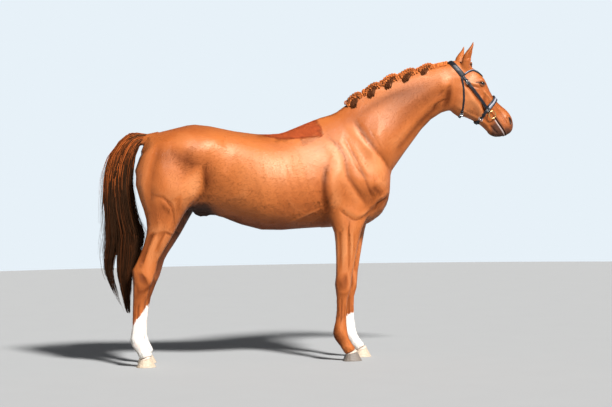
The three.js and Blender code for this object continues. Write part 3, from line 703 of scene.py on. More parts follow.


# Soft patches of painted shade and painted highlight over the body: [x, z, radius along x, radius along z,
# darker by]; a negative darkening is a painted highlight.
PAINTED_SHADE_AND_LIGHT = (
    (-912, 1408, 84, 56, 1.1), (-789, 1338, 54, 46, 1.1), (-650, 1230, 60, 120, 0.6),
    (-700, 1250, 26, 100, 0.5), (-560, 1400, 120, 110, -0.1), (-250, 1310, 280, 130, -0.5),
    (-200, 905, 460, 60, 1.0), (-500, 960, 160, 70, 0.6), (110, 1130, 30, 120, 0.8),
    (120, 985, 50, 60, 0.7), (250, 1170, 60, 90, 0.35), (470, 1330, 60, 60, -0.4), (440, 1150, 50, 40, 0.6),
    (960, 1842, 50, 50, 0.85), (1000, 1800, 26, 60, 0.5), (860, 1760, 110, 60, 0.45),
    (-815, 1190, 80, 80, -0.6), (-700, 1480, 120, 60, -0.1), (760, 1640, 150, 44, 0.5),
    (-800, 1640, 300, 60, 0.5), (-350, 1570, 260, 50, 0.4), (640, 1780, 200, 70, 0.3),
    (300, 1400, 110, 130, -0.3), (470, 1050, 60, 40, 0.5), (-1000, 1020, 60, 60, 0.45),
    (-985, 1250, 40, 160, 0.35), (480, 1450, 30, 90, -0.3), (1130, 1745, 70, 84, -0.6),
    (1180, 1930, 50, 30, -0.3), (-545, 1240, 60, 120, 0.35), (-1013, 991, 36, 32, 0.6),
    (560, 1105, 46, 50, 0.5), (790, 1820, 130, 40, 0.35), (720, 1700, 110, 60, 0.25),
    (245, 790, 46, 150, -0.7), (-1125, 560, 60, 110, 0.5), (700, 1780, 240, 60, 0.35),
    (-860, 1400, 120, 36, 0.35), (400, 1110, 70, 60, 0.35), (700, 1560, 120, 50, 0.2))
# The same painted shade and painted highlights on the legs, ahead of the drawn leg's own step.
LEG_PAINTED_SHADE_AND_LIGHT = (
    (174, 152, 30, 40, 1.6), (204, 130, 30, 22, 0.8), (160, 215, 16, 40, 0.6), (215, 500, 44, 30, 0.5),
    (250, 600, 30, 20, -0.4), (178, 560, 14, 50, 0.7), (236, 790, 50, 140, -0.75), (320, 800, 16, 130, 0.4),
    (185, 345, 12, 90, 0.4), (-1150, 590, 24, 24, 0.8), (-1160, 478, 28, 30, 0.9),
    (-1075, 640, 30, 60, -0.2), (-1010, 870, 70, 100, -0.6), (-1195, 620, 18, 50, 0.5),
    (-1110, 520, 26, 22, 0.4), (-1140, 760, 18, 80, 0.5))


# A hollow this deep, in millimetres, gets the darkest painted shade.
DARKEST = 9


def painted_shading_of(co, place, local):
    """How much painted shade lies on the coat: positive is painted shade in folds, hollows and on the inner
    hind legs, negative a painted highlight on rises.
    """
    x, y, z = source(co)
    flat = np.stack((x, z), 1)
    # Painted shade in the body's furrows, and painted highlights along its veins and ridges.
    push = furrows(flat, BODY_FURROWS) * (1 - place["head"]) * (1 - ramp(-z, -1000, -900))
    for name in LEGS:
        near = at_leg(name, x, y, z, 1060)
        low = z[near]
        here = as_drawn(name, x[near], low)
        # Painted shade in the legs' furrows, and painted highlights on their ridges.
        push[near] += 2.6 * furrows(here, LIMB_FORMS[name[:4]][0]) * ramp(-low, -1040, -960)
        if name.startswith("hind"):
            # Painted shade on the inner faces of the hind legs.
            inner = ramp(HIND_SPREAD - abs(y[near]), -8, 20)
            push[near] -= 0.85 * DARKEST * inner * ramp(low, 380, 470) * ramp(-low, -1080, -940)
        # The legs' patches of painted shade and painted highlight.
        push[near] -= DARKEST * mounds(here, LEG_PAINTED_SHADE_AND_LIGHT)
    # Painted shade in the head's furrows, and painted highlights on its ridges.
    push += furrows(local[:, [0, 2]], HEAD_FURROWS) * place["head"]
    return np.clip(-push / DARKEST, -0.5, 1) + mounds(flat, PAINTED_SHADE_AND_LIGHT)


# ---- materials

# The tints of the coat's and the long hair's shine, and colours that a user has no need to change.
COAT_SHEEN, HAIR_SHEEN = (1.0, 0.80, 0.62, 1), (1.0, 0.56, 0.26, 1)
GREYED_SKIN, LIP_EDGE = (0.060, 0.030, 0.022), (0.62, 0.5, 0.46)
CORONET, SOIL = (0.50, 0.40, 0.32), (0.16, 0.11, 0.075)


def put(tree, kind, values=None, **settings):
    """A shader node. Its inputs take a number, a colour or another node's output."""
    node = tree.nodes.new("ShaderNode" + kind)
    for key, value in settings.items():
        setattr(node, key, value)
    for key, value in (values or {}).items():
        if isinstance(value, bpy.types.NodeSocket):
            tree.links.new(value, node.inputs[key])
        else:
            node.inputs[key].default_value = value
    return node


def added(kind, values, **settings):
    """A shader node beside the ones whose outputs it takes."""
    outputs = (value for value in values.values() if isinstance(value, bpy.types.NodeSocket))
    return put(next(outputs).id_data, kind, values, **settings)


def calc(operation, *values, clamp=False):
    """A number worked out from others."""
    return added("Math", dict(enumerate(values)), operation=operation, use_clamp=clamp).outputs[0]


def times(a, b, clamp=False):
    return calc("MULTIPLY", a, b, clamp=clamp)


def plus(a, b):
    return calc("ADD", a, b)


def scaled(value, by, base):
    return calc("MULTIPLY_ADD", value, by, base)


def mix(share, a, b, how="MIX"):
    """A share of the way from one colour or colour output to another."""
    a, b = (v if isinstance(v, bpy.types.NodeSocket) else (*v, 1) for v in (a, b))
    return added("Mix", {0: share, 6: a, 7: b}, data_type="RGBA", blend_type=how).outputs[2]


def tinted(colour_of, by):
    """A colour made lighter or darker."""
    return tuple(min(1.0, by * v) for v in colour_of)


def noise(place, scale, detail=2.0, rough=0.5):
    settings = {"Vector": place, "Scale": scale, "Detail": detail, "Roughness": rough}
    return added("TexNoise", settings).outputs[0]


def stored(tree, name):
    return put(tree, "Attribute", attribute_name=name).outputs["Fac"]


def between(value, low, high):
    """A value's smooth climb from 0 at low to 1 at high."""
    settings = {"Value": value, "From Min": low, "From Max": high}
    return added("MapRange", settings, interpolation_type="SMOOTHSTEP").outputs[0]


def object_places(tree):
    """Places on the object that is shaded."""
    return put(tree, "TexCoord").outputs["Object"]


def stretched(tree, scale, turn=0.0):
    """Object places squeezed along the lie of the hair."""
    turned = {"Vector": object_places(tree), "Rotation": (0, turn, 0), "Scale": scale}
    return put(tree, "Mapping", turned).outputs[0]


def surface(name, **settings):
    """A new material with its shader. Settings are the shader's own uniform values."""
    made = bpy.data.materials.new(name)
    made.use_nodes = True
    tree = made.node_tree
    tree.nodes.clear()
    shader = put(tree, "BsdfPrincipled")
    tree.links.new(shader.outputs[0], put(tree, "OutputMaterial").inputs[0])
    for key, value in settings.items():
        shader.inputs[key.replace("_", " ")].default_value = value
    return made, tree, shader


def drive(shader, **outputs):
    """Lets other nodes' outputs set the shader's inputs."""
    for name, output in outputs.items():
        shader.id_data.links.new(output, shader.inputs[name.replace("_", " ")])


def rough_bump(shader, height, strength, distance):
    bumped = added("Bump", {"Height": height, "Strength": strength, "Distance": distance})
    drive(shader, Normal=bumped.outputs[0])


def coat_colour(tree):
    """The colour of the coat wherever it grows, from the markings and the painted light and shade stored on
    the mesh.
    """
    coat = bpy.context.scene.horse_coat
    where = object_places(tree)
    broad = noise(where, 2.6, 3)
    dapple = noise(where, 21, 2)
    fine = noise(where, 190, 3, 0.7)
    body = mix(between(broad, 0.34, 0.66), coat.chestnut, coat.chestnut_light)
    body = mix(times(between(dapple, 0.42, 0.62), 0.16), body, coat.chestnut_light)
    # Painted shade in folds, hollows and furrows.
    painted_shading = times(stored(tree, "painted_shading"), 0.82, clamp=True)
    body = mix(painted_shading, body, coat.chestnut_shade_and_mottle)
    # Painted highlight on rises and ridges.
    rise = times(stored(tree, "painted_shading"), -0.9, clamp=True)
    body = mix(rise, body, coat.chestnut_painted_highlight)
    # Random mottling towards the same deep colour.
    body = mix(times(fine, 0.22), body, coat.chestnut_shade_and_mottle)
    ragged = noise(stretched(tree, (60, 60, 14)), 3.0, 3, 0.6)
    edge = plus(stored(tree, "patch"), scaled(ragged, 0.03, -0.015))
    clipped = between(edge, -0.001, 0.004)
    grown = mix(between(fine, 0.36, 0.60), coat.patch, coat.patch_deep)
    rim = times(between(edge, 0.024, 0.006), 0.75)
    body = mix(clipped, body, mix(rim, grown, tinted(coat.patch_deep, 0.6)))
    teeth = scaled(ragged, 0.06, -0.03)
    white = between(plus(stored(tree, "white"), teeth), -0.002, 0.006)
    flushed = between(noise(stretched(tree, (30, 30, 7)), 1.6, 3), 0.52, 0.72)
    pale = mix(times(flushed, 0.45), coat.white, coat.pink)
    body = mix(white, body, pale)
    # Dark bare skin, and the painted shade stored with it.
    body = mix(stored(tree, "dark"), body, mix(fine, coat.dark_skin_and_shade, GREYED_SKIN))
    return mix(times(stored(tree, "pale_lip"), 0.8, clamp=True), body, LIP_EDGE)


def dulled(tree, shader, shine):
    """Takes the shine off the unclipped patch, bare skin and hollows. Gives how much rougher the patch is."""
    grown_out = between(stored(tree, "patch"), -0.002, 0.004)
    dull = calc("MAXIMUM", times(stored(tree, "painted_shading"), 0.7), stored(tree, "dark"))
    dull = calc("MAXIMUM", dull, grown_out, clamp=True)
    drive(shader, Specular_IOR_Level=scaled(dull, -0.75 * shine, shine))
    return times(grown_out, 0.30)


def skin_material():
    made, tree, shader = surface("Coat over skin", Specular_Tint=COAT_SHEEN)
    drive(shader, Base_Color=coat_colour(tree))
    legs = noise(stretched(tree, (420, 420, 34)), 1.0, 2, 0.6)
    trunk = noise(stretched(tree, (44, 420, 300), 0.25), 1.0, 2, 0.6)
    slant = noise(stretched(tree, (420, 420, 44), 0.7), 1.0, 2, 0.6)
    hair = mix(stored(tree, "on_leg"), trunk, legs)
    hair = mix(stored(tree, "on_neck"), hair, slant)
    lines = put(tree, "RGBToBW", {0: hair}).outputs[0]
    pores = noise(object_places(tree), 90, 2)
    rough_bump(shader, plus(lines, times(pores, 0.5)), 0.35, 0.0016)
    gloss = scaled(lines, 0.16, 0.38)
    drive(shader, Roughness=plus(gloss, dulled(tree, shader, 0.44)))
    return made


# ---- long hair

def strands(paths, radii):
    """Hairs or locks as one closed mesh. Paths hold count x points x 3 places, radii count x points."""
    curve = bpy.data.curves.new("strands", "CURVE")
    curve.dimensions = "3D"
    curve.bevel_depth = 1.0
    curve.bevel_resolution = 0
    count, points = paths.shape[:2]
    ones = np.ones((points, 1))
    for path, radius in zip(paths, radii):
        spline = curve.splines.new("POLY")
        spline.points.add(points - 1)
        spline.points.foreach_set("co", np.hstack((path, ones)).astype(np.float32).ravel())
        spline.points.foreach_set("radius", radius.astype(np.float32))
    ob = linked("strands", curve)
    mesh = bpy.data.meshes.new_from_object(ob.evaluated_get(bpy.context.evaluated_depsgraph_get()))
    bpy.data.objects.remove(ob)
    bpy.data.curves.remove(curve)
    sides = len(mesh.vertices) // (count * points)
    if sides * count * points != len(mesh.vertices):
        raise RuntimeError("the strands did not come out with whole rings")
    bm = bmesh.new()
    bm.from_mesh(mesh)
    bmesh.ops.holes_fill(bm, edges=[edge for edge in bm.edges if edge.is_boundary], sides=sides)
    bm.to_mesh(mesh)
    bm.free()
    return mesh, sides


# How long and wide each tuft's or hair's own place on the baked map is.
PATCH_LENGTH = 0.003


def hair_mesh(paths, radii, rng):
    """Strands with what their material reads: each one's own chance, and how far along it each place is."""
    paths, radii = np.array(paths), np.array(radii)
    mesh, sides = strands(paths, radii)
    count, points = paths.shape[:2]
    keep(mesh, "lot", np.repeat(rng.random(count), points * sides))
    keep(mesh, "along", np.tile(np.repeat(evenly(points), sides), count))
    rank, ring, side = np.unravel_index(np.arange(len(mesh.vertices)), (count, points, sides))
    columns = 320
    bands = count // columns + 1
    length = max(PATCH_LENGTH, 0.94 / bands)
    u = (rank % columns) / columns + PATCH_LENGTH * side / sides
    v = (rank // columns) / bands + length * ring / (points - 1)
    patches(mesh, u, v)
    return mesh


def patches(mesh, u, v):
    """The map that a baked colour uses, from a place for each vertex."""
    for layer in list(mesh.uv_layers):
        mesh.uv_layers.remove(layer)
    layer = mesh.uv_layers.new(name="OFBake")
    layer.uv.foreach_set("vector", np.stack((u, v), 1)[corners_of(mesh)].astype(np.float32).ravel())


def hair_material(name, top, root, tip, lean=0.0, shine=0.3):
    """Long hair: one colour high up and rearwards, another low down, varied from lock to lock."""
    made, tree, shader = surface(name, Roughness=0.42, Specular_IOR_Level=shine,
                                 Specular_Tint=HAIR_SHEEN)
    apart = put(tree, "SeparateXYZ", {0: object_places(tree)}).outputs
    height = calc("SUBTRACT", apart[2], times(apart[0], lean))
    lot = stored(tree, "lot")
    level = plus(height, scaled(lot, 0.34, -0.17))
    high = between(level, *top)
    body = mix(high, tip, root)
    streak = noise(stretched(tree, (260, 260, 12)), 1.0, 3)
    fresh = scaled(high, 0.85, 0.15)
    dark = times(between(streak, 0.4, 0.7), scaled(fresh, -0.32, 0.55))
    body = mix(dark, body, tinted(tip, 0.35))
    bright = times(times(between(lot, 0.56, 0.96), 0.7), fresh)
    body = mix(bright, body, tinted(root, 2.0))
    drive(shader, Base_Color=body)
    rough_bump(shader, streak, 0.3, 0.001)
    return made


# The tail's stations: the ends of its outline in side view, rear one first, and its half width.
TAIL = np.array((
    (-1000, 1566, -1012, 1500, 27), (-1100, 1580, -1080, 1504, 36), (-1198, 1568, -1128, 1480, 44),
    (-1266, 1512, -1156, 1416, 50), (-1338, 1408, -1172, 1334, 56), (-1370, 1280, -1182, 1234, 62),
    (-1378, 1116, -1168, 1112, 68), (-1372, 995, -1146, 998, 70), (-1374, 870, -1100, 884, 68),
    (-1384, 750, -1130, 756, 60), (-1366, 615, -1188, 620, 48), (-1312, 480, -1198, 482, 34),
    (-1256, 352, -1200, 352, 18)), float)


def tail_places(q, a, b):
    """Places in the tail: q counts stations down it, a runs front to rear and b side to side, -1 to 1."""
    at = [np.interp(q, np.arange(len(TAIL)), TAIL[:, k]) for k in range(5)]
    x = (at[0] + at[2]) / 2 + a * (at[0] - at[2]) / 2
    z = (at[1] + at[3]) / 2 + a * (at[1] - at[3]) / 2
    return np.stack((x - CENTRE, b * at[4], z), -1) * MM


def tail_hairs(count, rng, shell, thick):
    """Hairs that leave the dock, fill the tail's form, and gather into locks lower down."""
    points = 15
    turn = rng.uniform(0, math.tau, count)
    reach = rng.uniform(*shell, count) ** 0.5
    a, b = np.cos(turn) * reach, np.sin(turn) * reach
    locks = rng.uniform(-1, 1, (34, 2))
    locks *= (0.95 / np.maximum(1, np.linalg.norm(locks, axis=1)))[:, None]
    mine = np.argmin(np.hypot(a[:, None] - locks[:, 0], b[:, None] - locks[:, 1]), axis=1)
    rear, ahead_of = locks[:, 0] > 0.42, locks[:, 0] < -0.55
    lock_end = np.where(rear, rng.uniform(9.1, 10.6, len(locks)), rng.uniform(10.6, 12.0, len(locks)))
    lock_end = np.where(ahead_of, rng.uniform(8.6, 11.6, len(locks)), lock_end)
    parting = np.where(rear, 0.24, np.where(ahead_of, -0.02, -0.16))[mine]
    start = rng.uniform(0.0, 4.4, count)
    start = np.where(a > 0.4, start * 0.8, start)
    end = np.minimum(lock_end[mine] + rng.normal(0, 0.6, count), 12 - abs(rng.normal(0, 0.2, count)))
    end = np.where(rng.random(count) < 0.3, rng.uniform(6.5, 11, count), end)
    t = evenly(points)
    q = start[:, None] + (end - start)[:, None] * t
    out = 0.30 + 0.70 * ramp(q - start[:, None], 0, 1.9)
    gather = 0.80 * ramp(q, 4.0, 11.0)
    sway = rng.normal(0, 0.06, (len(locks), 2))[mine]
    lock = locks[mine]
    drift = ramp(q, 5, 12)
    loose = rng.normal(0, 0.045, (count, 2))
    phase = rng.uniform(0, 6.3, count)
    wave = 0.03 * np.sin(q * 1.3 + phase[:, None])
    ab = [one[:, None] * out + gather * (lock[:, k, None] - one[:, None] * out) + drift * sway[:, k, None]
          + loose[:, k, None] * ramp(q, 2, 9) + wave for k, one in enumerate((a, b))]
    ab[0] += parting[:, None] * ramp(q, 8.2, 10.4) * (1 - 0.6 * ramp(q, 10.8, 12.0))
    paths = tail_places(q, *ab)
    taper = 0.35 + 0.65 * ramp(t, 0, 0.08)
    radii = thick * MM * rng.uniform(0.7, 1.2, count)[:, None] * taper * (1 - 0.75 * ramp(t, 0.55, 1.0))
    return paths, radii


def tail_wisps(count, rng):
    """Loose hairs that stand off the tail behind, below and over the gaskin."""
    t = evenly(19)
    start = rng.uniform(1.5, 5.5, count)
    end = start + rng.uniform(2.5, 6.0, count)
    q = np.minimum(start[:, None] + (end - start)[:, None] * t, 12.0)
    rear = rng.random(count) < 0.55
    a = np.where(rear, rng.uniform(0.75, 1.0, count), rng.uniform(-1.0, -0.6, count))
    b = rng.uniform(-0.8, 0.8, count)
    off = np.where(rear, rng.uniform(0.05, 0.42, count), -rng.uniform(0.05, 0.34, count))
    a = a[:, None] + off[:, None] * ramp(t, 0.15, 1.0)
    b = b[:, None] * (1 + 0.5 * ramp(t, 0.2, 1.0))
    radii = 1.1 * MM * np.ones((count, 1)) * (1 - 0.7 * t)
    return tail_places(q, a, b), radii


# ---- plaits

def crest_at(x):
    """The crest's place, in millimetres, and the axes there: along it, up from it, and to the right."""
    reach = 20.0
    z, before, after = np.interp((x, x - reach, x + reach), CREST[:, 0], CREST[:, 1])
    run, rise = unit(np.array((2 * reach, after - before)))
    return np.array((x - CENTRE, 0, z)), np.array(((run, 0, rise), (-rise, 0, run), (0, -1, 0)))


# A plait's fold, over and then under, as places along the crest, above it, and out to the horse's right.
FOLD_OVER = np.array((
    (-46, -20, 38), (-48, -4, 30), (-36, 10, 23), (-10, 18, 20), (16, 20, 20), (38, 17, 22), (51, 6, 26),
    (50, -10, 32), (40, -20, 37)), float)
FOLD_UNDER = np.array((
    (48, -8, 28), (24, -6, 29), (0, -8, 31), (-20, -16, 37), (-36, -30, 47), (-44, -46, 55)), float)
PLAIT_PLACES = (339, 463, 589, 716, 842)


def braid(path, width, thick, crossings, hairs, rng, face):
    """Three crossing strands along a path, each a bundle of hairs. face is the way the braid's flat faces."""
    points = 64
    share = evenly(points)
    at = np.stack([np.interp(share, evenly(len(path)), path[:, k]) for k in range(3)], 1)
    run = unit(np.gradient(at, axis=0))
    across = unit(np.cross(run, np.broadcast_to(face, run.shape)))
    over = np.cross(across, run)
    slim = 0.45 + 0.55 * ramp(share, 0, 0.12) - 0.42 * ramp(share, 0.72, 1.0)
    paths, radii = [], []
    for strand in range(3):
        phase = math.tau * (share * crossings + strand / 3)
        sway = across * (np.sin(phase) * width)[:, None] + over * (np.sin(2 * phase) * thick)[:, None]
        middle = at + sway * slim[:, None]
        for hair in range(hairs):
            turn = math.tau * hair / (hairs - 1) + share * 5 + rng.normal(0, 0.2)
            reach = 0 if hair == hairs - 1 else 0.42 * width
            off = across * (np.cos(turn) * reach)[:, None] + over * (np.sin(turn) * reach * 0.8)[:, None]
            paths.append(middle + off * slim[:, None])
            size = (0.40 if reach == 0 else 0.25) * width * rng.uniform(0.8, 1.15)
            radii.append(size * slim * (1 - 0.7 * ramp(share, 0.94, 1)))
    return paths, radii


def plait_hairs(rng):
    """Every plait on the crest: the mane drawn up into it, and the braid folded over to the right."""
    over, under, drawn, shaded = ([], []), ([], []), ([], []), ([], [])
    taper = 1 - 0.45 * evenly(13)
    for k, x in enumerate(PLAIT_PLACES):
        base, axes = crest_at(x)
        size = 1.0 - 0.1 * (k == len(PLAIT_PLACES) - 1)
        face = 0.5 * axes[1] + (0, -0.86, 0)
        for fold, kind, crossings in ((FOLD_OVER, over, 3.6), (FOLD_UNDER, under, 2.4)):
            path = base + ((curved(fold, 5) + rng.normal(0, 1.5, 3)) * size) @ axes
            made = braid(path * MM, 8.6 * size * MM, 4.4 * MM, crossings, 8, rng, face)
            for held, part in zip(kind, made):
                held.extend(part)
        for _ in range(165):
            root, aside = rng.uniform(-70, 70), rng.uniform(-18, 42)
            top = (root * 0.9 + rng.normal(0, 3), 17 - 3 * abs(root) / 70 + rng.normal(0, 1.6)
                   - 0.010 * max(aside, 0) ** 2, 5 + 0.62 * aside)
            line = np.array(((root, -4 - 0.013 * aside ** 2, aside), top,
                             (root * 0.55 - 4, 10 + rng.normal(0, 2), 17)))
            drawn[0].append((base + curved(line * size, 6) @ axes) * MM)
            drawn[1].append(2.6 * MM * taper)
        # Drape strands under each plait; they take the mane's painted-shade colour.
        for _ in range(70):
            root = rng.uniform(-46, 36)
            line = np.array(((root, rng.uniform(0, 8), rng.uniform(16, 22)),
                             (root * 0.8 - 8, -16 + rng.normal(0, 3), rng.uniform(33, 38)),
                             (root * 0.45 - 30, -46 + rng.normal(0, 7), rng.uniform(51, 55))))
            shaded[0].append((base + curved(line * size, 6) @ axes) * MM)
            shaded[1].append(2.3 * MM * taper)
    for _ in range(200):
        x, aside = rng.uniform(892, 1006), rng.uniform(-12, 12)
        base, axes = crest_at(x)
        high = rng.uniform(5, 9)
        line = ((0, -4, aside), (-5, high, aside + 6), (-13, high - 9, aside + 20), (-20, high - 26, 32))
        drawn[0].append((base + curved(line, 4) @ axes) * MM)
        drawn[1].append(1.9 * MM * taper)
    return over, under, drawn, shaded


def forelock_hairs(rng):
    """The forelock, gathered from between the ears and tied up in one small knot."""
    centre = np.array((1163, -9, 2018.0))
    t = evenly(30)
    turn = 0.6 + t * math.tau * 1.45
    size = 15 - 8 * t
    path = centre + np.stack((np.cos(turn) * size, np.sin(turn) * size * 0.9, 5 + 12 * t), 1)
    paths, radii = braid(from_head(path), 6.0 * MM, 3.0 * MM, 3.0, 7, rng, (0, 0, 1))
    fans = ([], [])
    for _ in range(80):
        turned = rng.uniform(0, math.tau)
        c, s = math.cos(turned), math.sin(turned)
        root = centre + (c * 21 - 8, s * 20, -9 - 5 * c)
        goal = centre + (c * 9, s * 9, 13)
        u = evenly(20)[:, None]
        path = root + (goal - root) * u + np.array((c * 6, s * 6, 3)) * np.sin(u * math.pi)
        fans[0].append(from_head(path))
        fans[1].append(np.full(20, 1.9 * MM))
    return [np.array(one) for one in (paths, radii)], [np.array(one) for one in fans]


# ---- hooves and eyes

def hoof_mesh(node):
    """A hoof with its growth rings, the bulge of its coronet, and a level sole."""
    mesh = evaluated(finished(welded(node)), fused(2.4 * MM), smoothed(12))
    co, normal = shape_of(mesh)
    low, high = (np.array(corner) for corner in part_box(node))
    middle = (low + high) / 2
    toe = (co[:, 0] - low[0]) / (high[0] - low[0])
    top = (0.044 + 0.036 * toe)
    share = co[:, 2] / top
    wall = ramp(np.hypot(normal[:, 0], normal[:, 1]), 0.5, 0.9)
    rings = 0.45 * np.sin(share * 34 + 1.5 * np.sin(toe * 3)) + 0.3 * np.sin(share * 61 + 1)
    crown = 1.8 * bump((share - 0.93) / 0.07) - 1.0 * bump((share - 0.80) / 0.05)
    heel = -3.0 * bump((co[:, 1] - middle[1]) / 0.009) * ramp(-normal[:, 0], 0.4, 0.9)
    co += normal * ((rings + crown + heel) * wall * MM)[:, None]
    cleft = bump((co[:, 1] - middle[1]) / 0.006) * (toe < 0.62) * ramp(-normal[:, 2], 0.5, 0.9)
    co[:, 2] = np.where(co[:, 2] < 1.4 * MM, 0, co[:, 2]) + 5 * MM * cleft
    reshape(mesh, co)
    keep(mesh, "up", share)
    return evaluated(mesh, thinned(0.45))


def hoof_material(name, horn, horn_dark):
    made, tree, shader = surface(name, Specular_IOR_Level=0.4)
    fibres = noise(stretched(tree, (520, 520, 30)), 1.0, 3, 0.6)
    bands = noise(put(tree, "CombineXYZ", {2: stored(tree, "up")}).outputs[0], 26, 2)
    body = mix(between(fibres, 0.35, 0.7), horn, horn_dark)
    body = mix(times(between(bands, 0.45, 0.65), 0.45), body, horn_dark)
    body = mix(between(stored(tree, "up"), 0.84, 0.97), body, CORONET)
    soil = between(noise(object_places(tree), 60, 4), 0.5, 0.75)
    body = mix(times(soil, 0.35), body, SOIL)
    drive(shader, Base_Color=body)
    drive(shader, Roughness=scaled(fibres, 0.25, 0.42))
    rough_bump(shader, plus(fibres, bands), 0.35, 0.0008)
    return made


def eyeball_mesh(side):
    """An eyeball with a bulging cornea. It stores each place's distance across and up the iris."""
    bm = bmesh.new()
    bmesh.ops.create_uvsphere(bm, u_segments=48, v_segments=32, radius=1)
    turn = Matrix.Rotation(-side * math.pi / 2, 3, "X")
    bmesh.ops.rotate(bm, verts=bm.verts, cent=(0, 0, 0), matrix=turn)
    co = np.array([v.co for v in bm.verts])
    bulge = 1 + 0.045 * ramp(co[:, 1] * side, 0.80, 0.97)
    for vert, grown in zip(bm.verts, bulge):
        vert.co *= float(grown) * EYE_RADIUS
    mesh = finished(bm)
    local = rows(mesh.vertices, "co", 3)
    for name, offset in zip(("iris_u", "iris_w"), sloped(local[:, 0], local[:, 2])):
        keep(mesh, name, offset)
    places = local * (1, 0.94, 1) + EYE * (1, side, 1)
    reshape(mesh, from_head(places))
    return mesh


def eye_material():
    made, tree, shader = surface("Eye", Roughness=0.08, Specular_IOR_Level=0.35)
    u, w = stored(tree, "iris_u"), stored(tree, "iris_w")
    u, w = times(u, u), times(w, w)
    away = calc("SQRT", plus(u, w))
    pupil = calc("SQRT", plus(times(u, 0.34), times(w, 1.6)))
    spokes = noise(object_places(tree), 900, 3)
    iris = mix(spokes, (0.030, 0.012, 0.006), (0.085, 0.036, 0.014))
    body = mix(between(away, 15.5, 17.5), iris, (0.02, 0.014, 0.012))
    body = mix(between(pupil, 6.4, 5.2), body, (0.004, 0.005, 0.008))
    drive(shader, Base_Color=body)
    return made


def lash_hairs(rng):
    """Lashes along both upper lids."""
    paths, radii = [], []
    t = evenly(8)
    for side in (-1, 1):
        for k in range(46):
            u = -17 + 34 * k / 45 + rng.normal(0, 0.4)
            w = 8.5 * (1 - (u / 22) ** 2) ** 0.75 + 0.6
            x, z = sloped(u, w, -EYE_SLOPE)
            root = EYE + (x, math.sqrt(max(0, 23.4 ** 2 - u * u - w * w)) * 0.94, z)
            out = np.array((0.25 * u / 17, 1.0, -0.55)) / 1.18
            length = rng.uniform(8, 12)
            path = root + out * (t * length)[:, None] + np.array((0, 0, 3.0)) * (t ** 2)[:, None]
            paths.append(from_head(path * (1, side, 1)))
            radii.append(0.42 * MM * (1 - 0.8 * t))
    return np.array(paths), np.array(radii)


# ---- bridle

CHEEK = ((1087, 1934), (1177, 1815), (1284, 1685))
# Each strap's middle line in side view on the straight head, its half width, and whether it is padded.
STRAPS = {
    "headpiece": (((982, 2120), (1004, 2062), (1036, 2006), (1088, 1936)), 19, "headpiece"),
    "cheekpiece_right": (CHEEK, 10.5, "plain"),
    "cheekpiece_left": (CHEEK, 10.5, "plain"),
    "noseband": (((1404, 1838), (1352, 1787), (1270, 1708)), 20, "padded"),
    "chin_strap": (((1269, 1705), (1230, 1650), (1186, 1572)), 12, "plain"),
    "browband": (((1088, 1938), (1130, 1966), (1172, 1978), (1208, 1964), (1234, 1946), (1300, 1922)), 7,
                 "silver"),
    "throatlash": (((1076, 1934), (1088, 1860), (1091, 1790), (1090, 1706), (1084, 1600)), 7, "plain"),
}
# How far each kind stands out at shares of its half width from the middle, in millimetres.
CROWNS = {
    "plain": ((0, 0.5, 0.74, 0.82, 0.9, 1.0), (0.3, 0.3, 0.2, -0.7, 0.1, -0.5)),
    "headpiece": ((0, 0.55, 0.72, 0.80, 0.9, 1.0), (1.6, 1.0, 0.0, -1.0, 0.3, -0.6)),
    "padded": ((0, 0.22, 0.36, 0.44, 0.56, 0.80, 0.88, 1.0), (1.6, 1.2, -0.4, -2.8, -0.4, 0.2, -1.6, -2.2)),
    "silver": ((0, 0.3, 0.5, 0.6, 0.75, 1.0), (1.4, 1.2, 0.3, -0.9, 0.0, -0.6)),
}


def strap_mesh(node):
    """A strap from its CAD solid, with rounded edges and a crown or padding."""
    line, half, kind = STRAPS[node]
    mesh = evaluated(finished(welded(node)), fused(1.7 * MM), smoothed(9))
    co, normal = shape_of(mesh)
    local = to_head(co)
    away, side, _ = line_near(local[:, [0, 2]], curved(line))
    share = np.clip(away / half, 0, 1)
    skull = np.array([solid_tree("head").find_nearest(place)[0] for place in co])
    outer = ((co - skull) * normal).sum(1) > 0.5 * MM
    push = np.interp(share, *CROWNS[kind]) * outer
    co += normal * (push * MM)[:, None]
    reshape(mesh, co)
    keep(mesh, "across", np.where(outer, share * np.sign(side), 1.2))
    return evaluated(mesh, thinned(0.5))


def leather_material(name, kind):
    """Black leather with its grain and worn edges. Padded and silver kinds are pale along the middle."""
    tack = bpy.context.scene.horse_tack
    made, tree, shader = surface(name, Specular_IOR_Level=0.22)
    where = object_places(tree)
    grain = put(tree, "TexVoronoi", {"Vector": where, "Scale": 620.0}).outputs[0]
    wear = noise(where, 34, 4, 0.65)
    signed = stored(tree, "across")
    across = calc("ABSOLUTE", signed)
    body = mix(times(between(wear, 0.45, 0.8), 0.5), tack.leather, tack.leather_worn)
    body = mix(times(between(across, 0.84, 0.98), 0.4), body, tack.leather_worn)
    if kind in ("padded", "silver"):
        pale = mix(wear, tack.padding, tinted(tack.padding, 0.72))
        shown = between(across, 0.40, 0.33)
        if kind == "silver":
            shown = times(between(across, 0.72, 0.60), between(signed, 0.02, 0.14))
        body = mix(shown, body, pale)
    drive(shader, Base_Color=body, Roughness=scaled(wear, 0.28, 0.26))
    rough_bump(shader, plus(grain, wear), 0.25, 0.0005)
    return made


def metal_material(name, colour_of, roughness):
    """Metal with duller, worn places."""
    made, tree, shader = surface(name, Metallic=1.0)
    worn = noise(object_places(tree), 120, 4, 0.6)
    body = mix(between(worn, 0.5, 0.8), colour_of, tinted(colour_of, 0.55))
    drive(shader, Base_Color=body, Roughness=scaled(worn, 0.2, roughness))
    rough_bump(shader, worn, 0.1, 0.0003)
    return made


def strap_met(node, x, z, side):
    """Where a line from one side of the head meets a strap, the way the strap faces, and the line's way."""
    start = Vector(from_head((x, side * 300, z))[0])
    way = Vector(head_turned((0, -side, 0))[0])
    hit, normal, _, _ = solid_tree(node).ray_cast(start, way, 0.32)
    return hit, normal, way


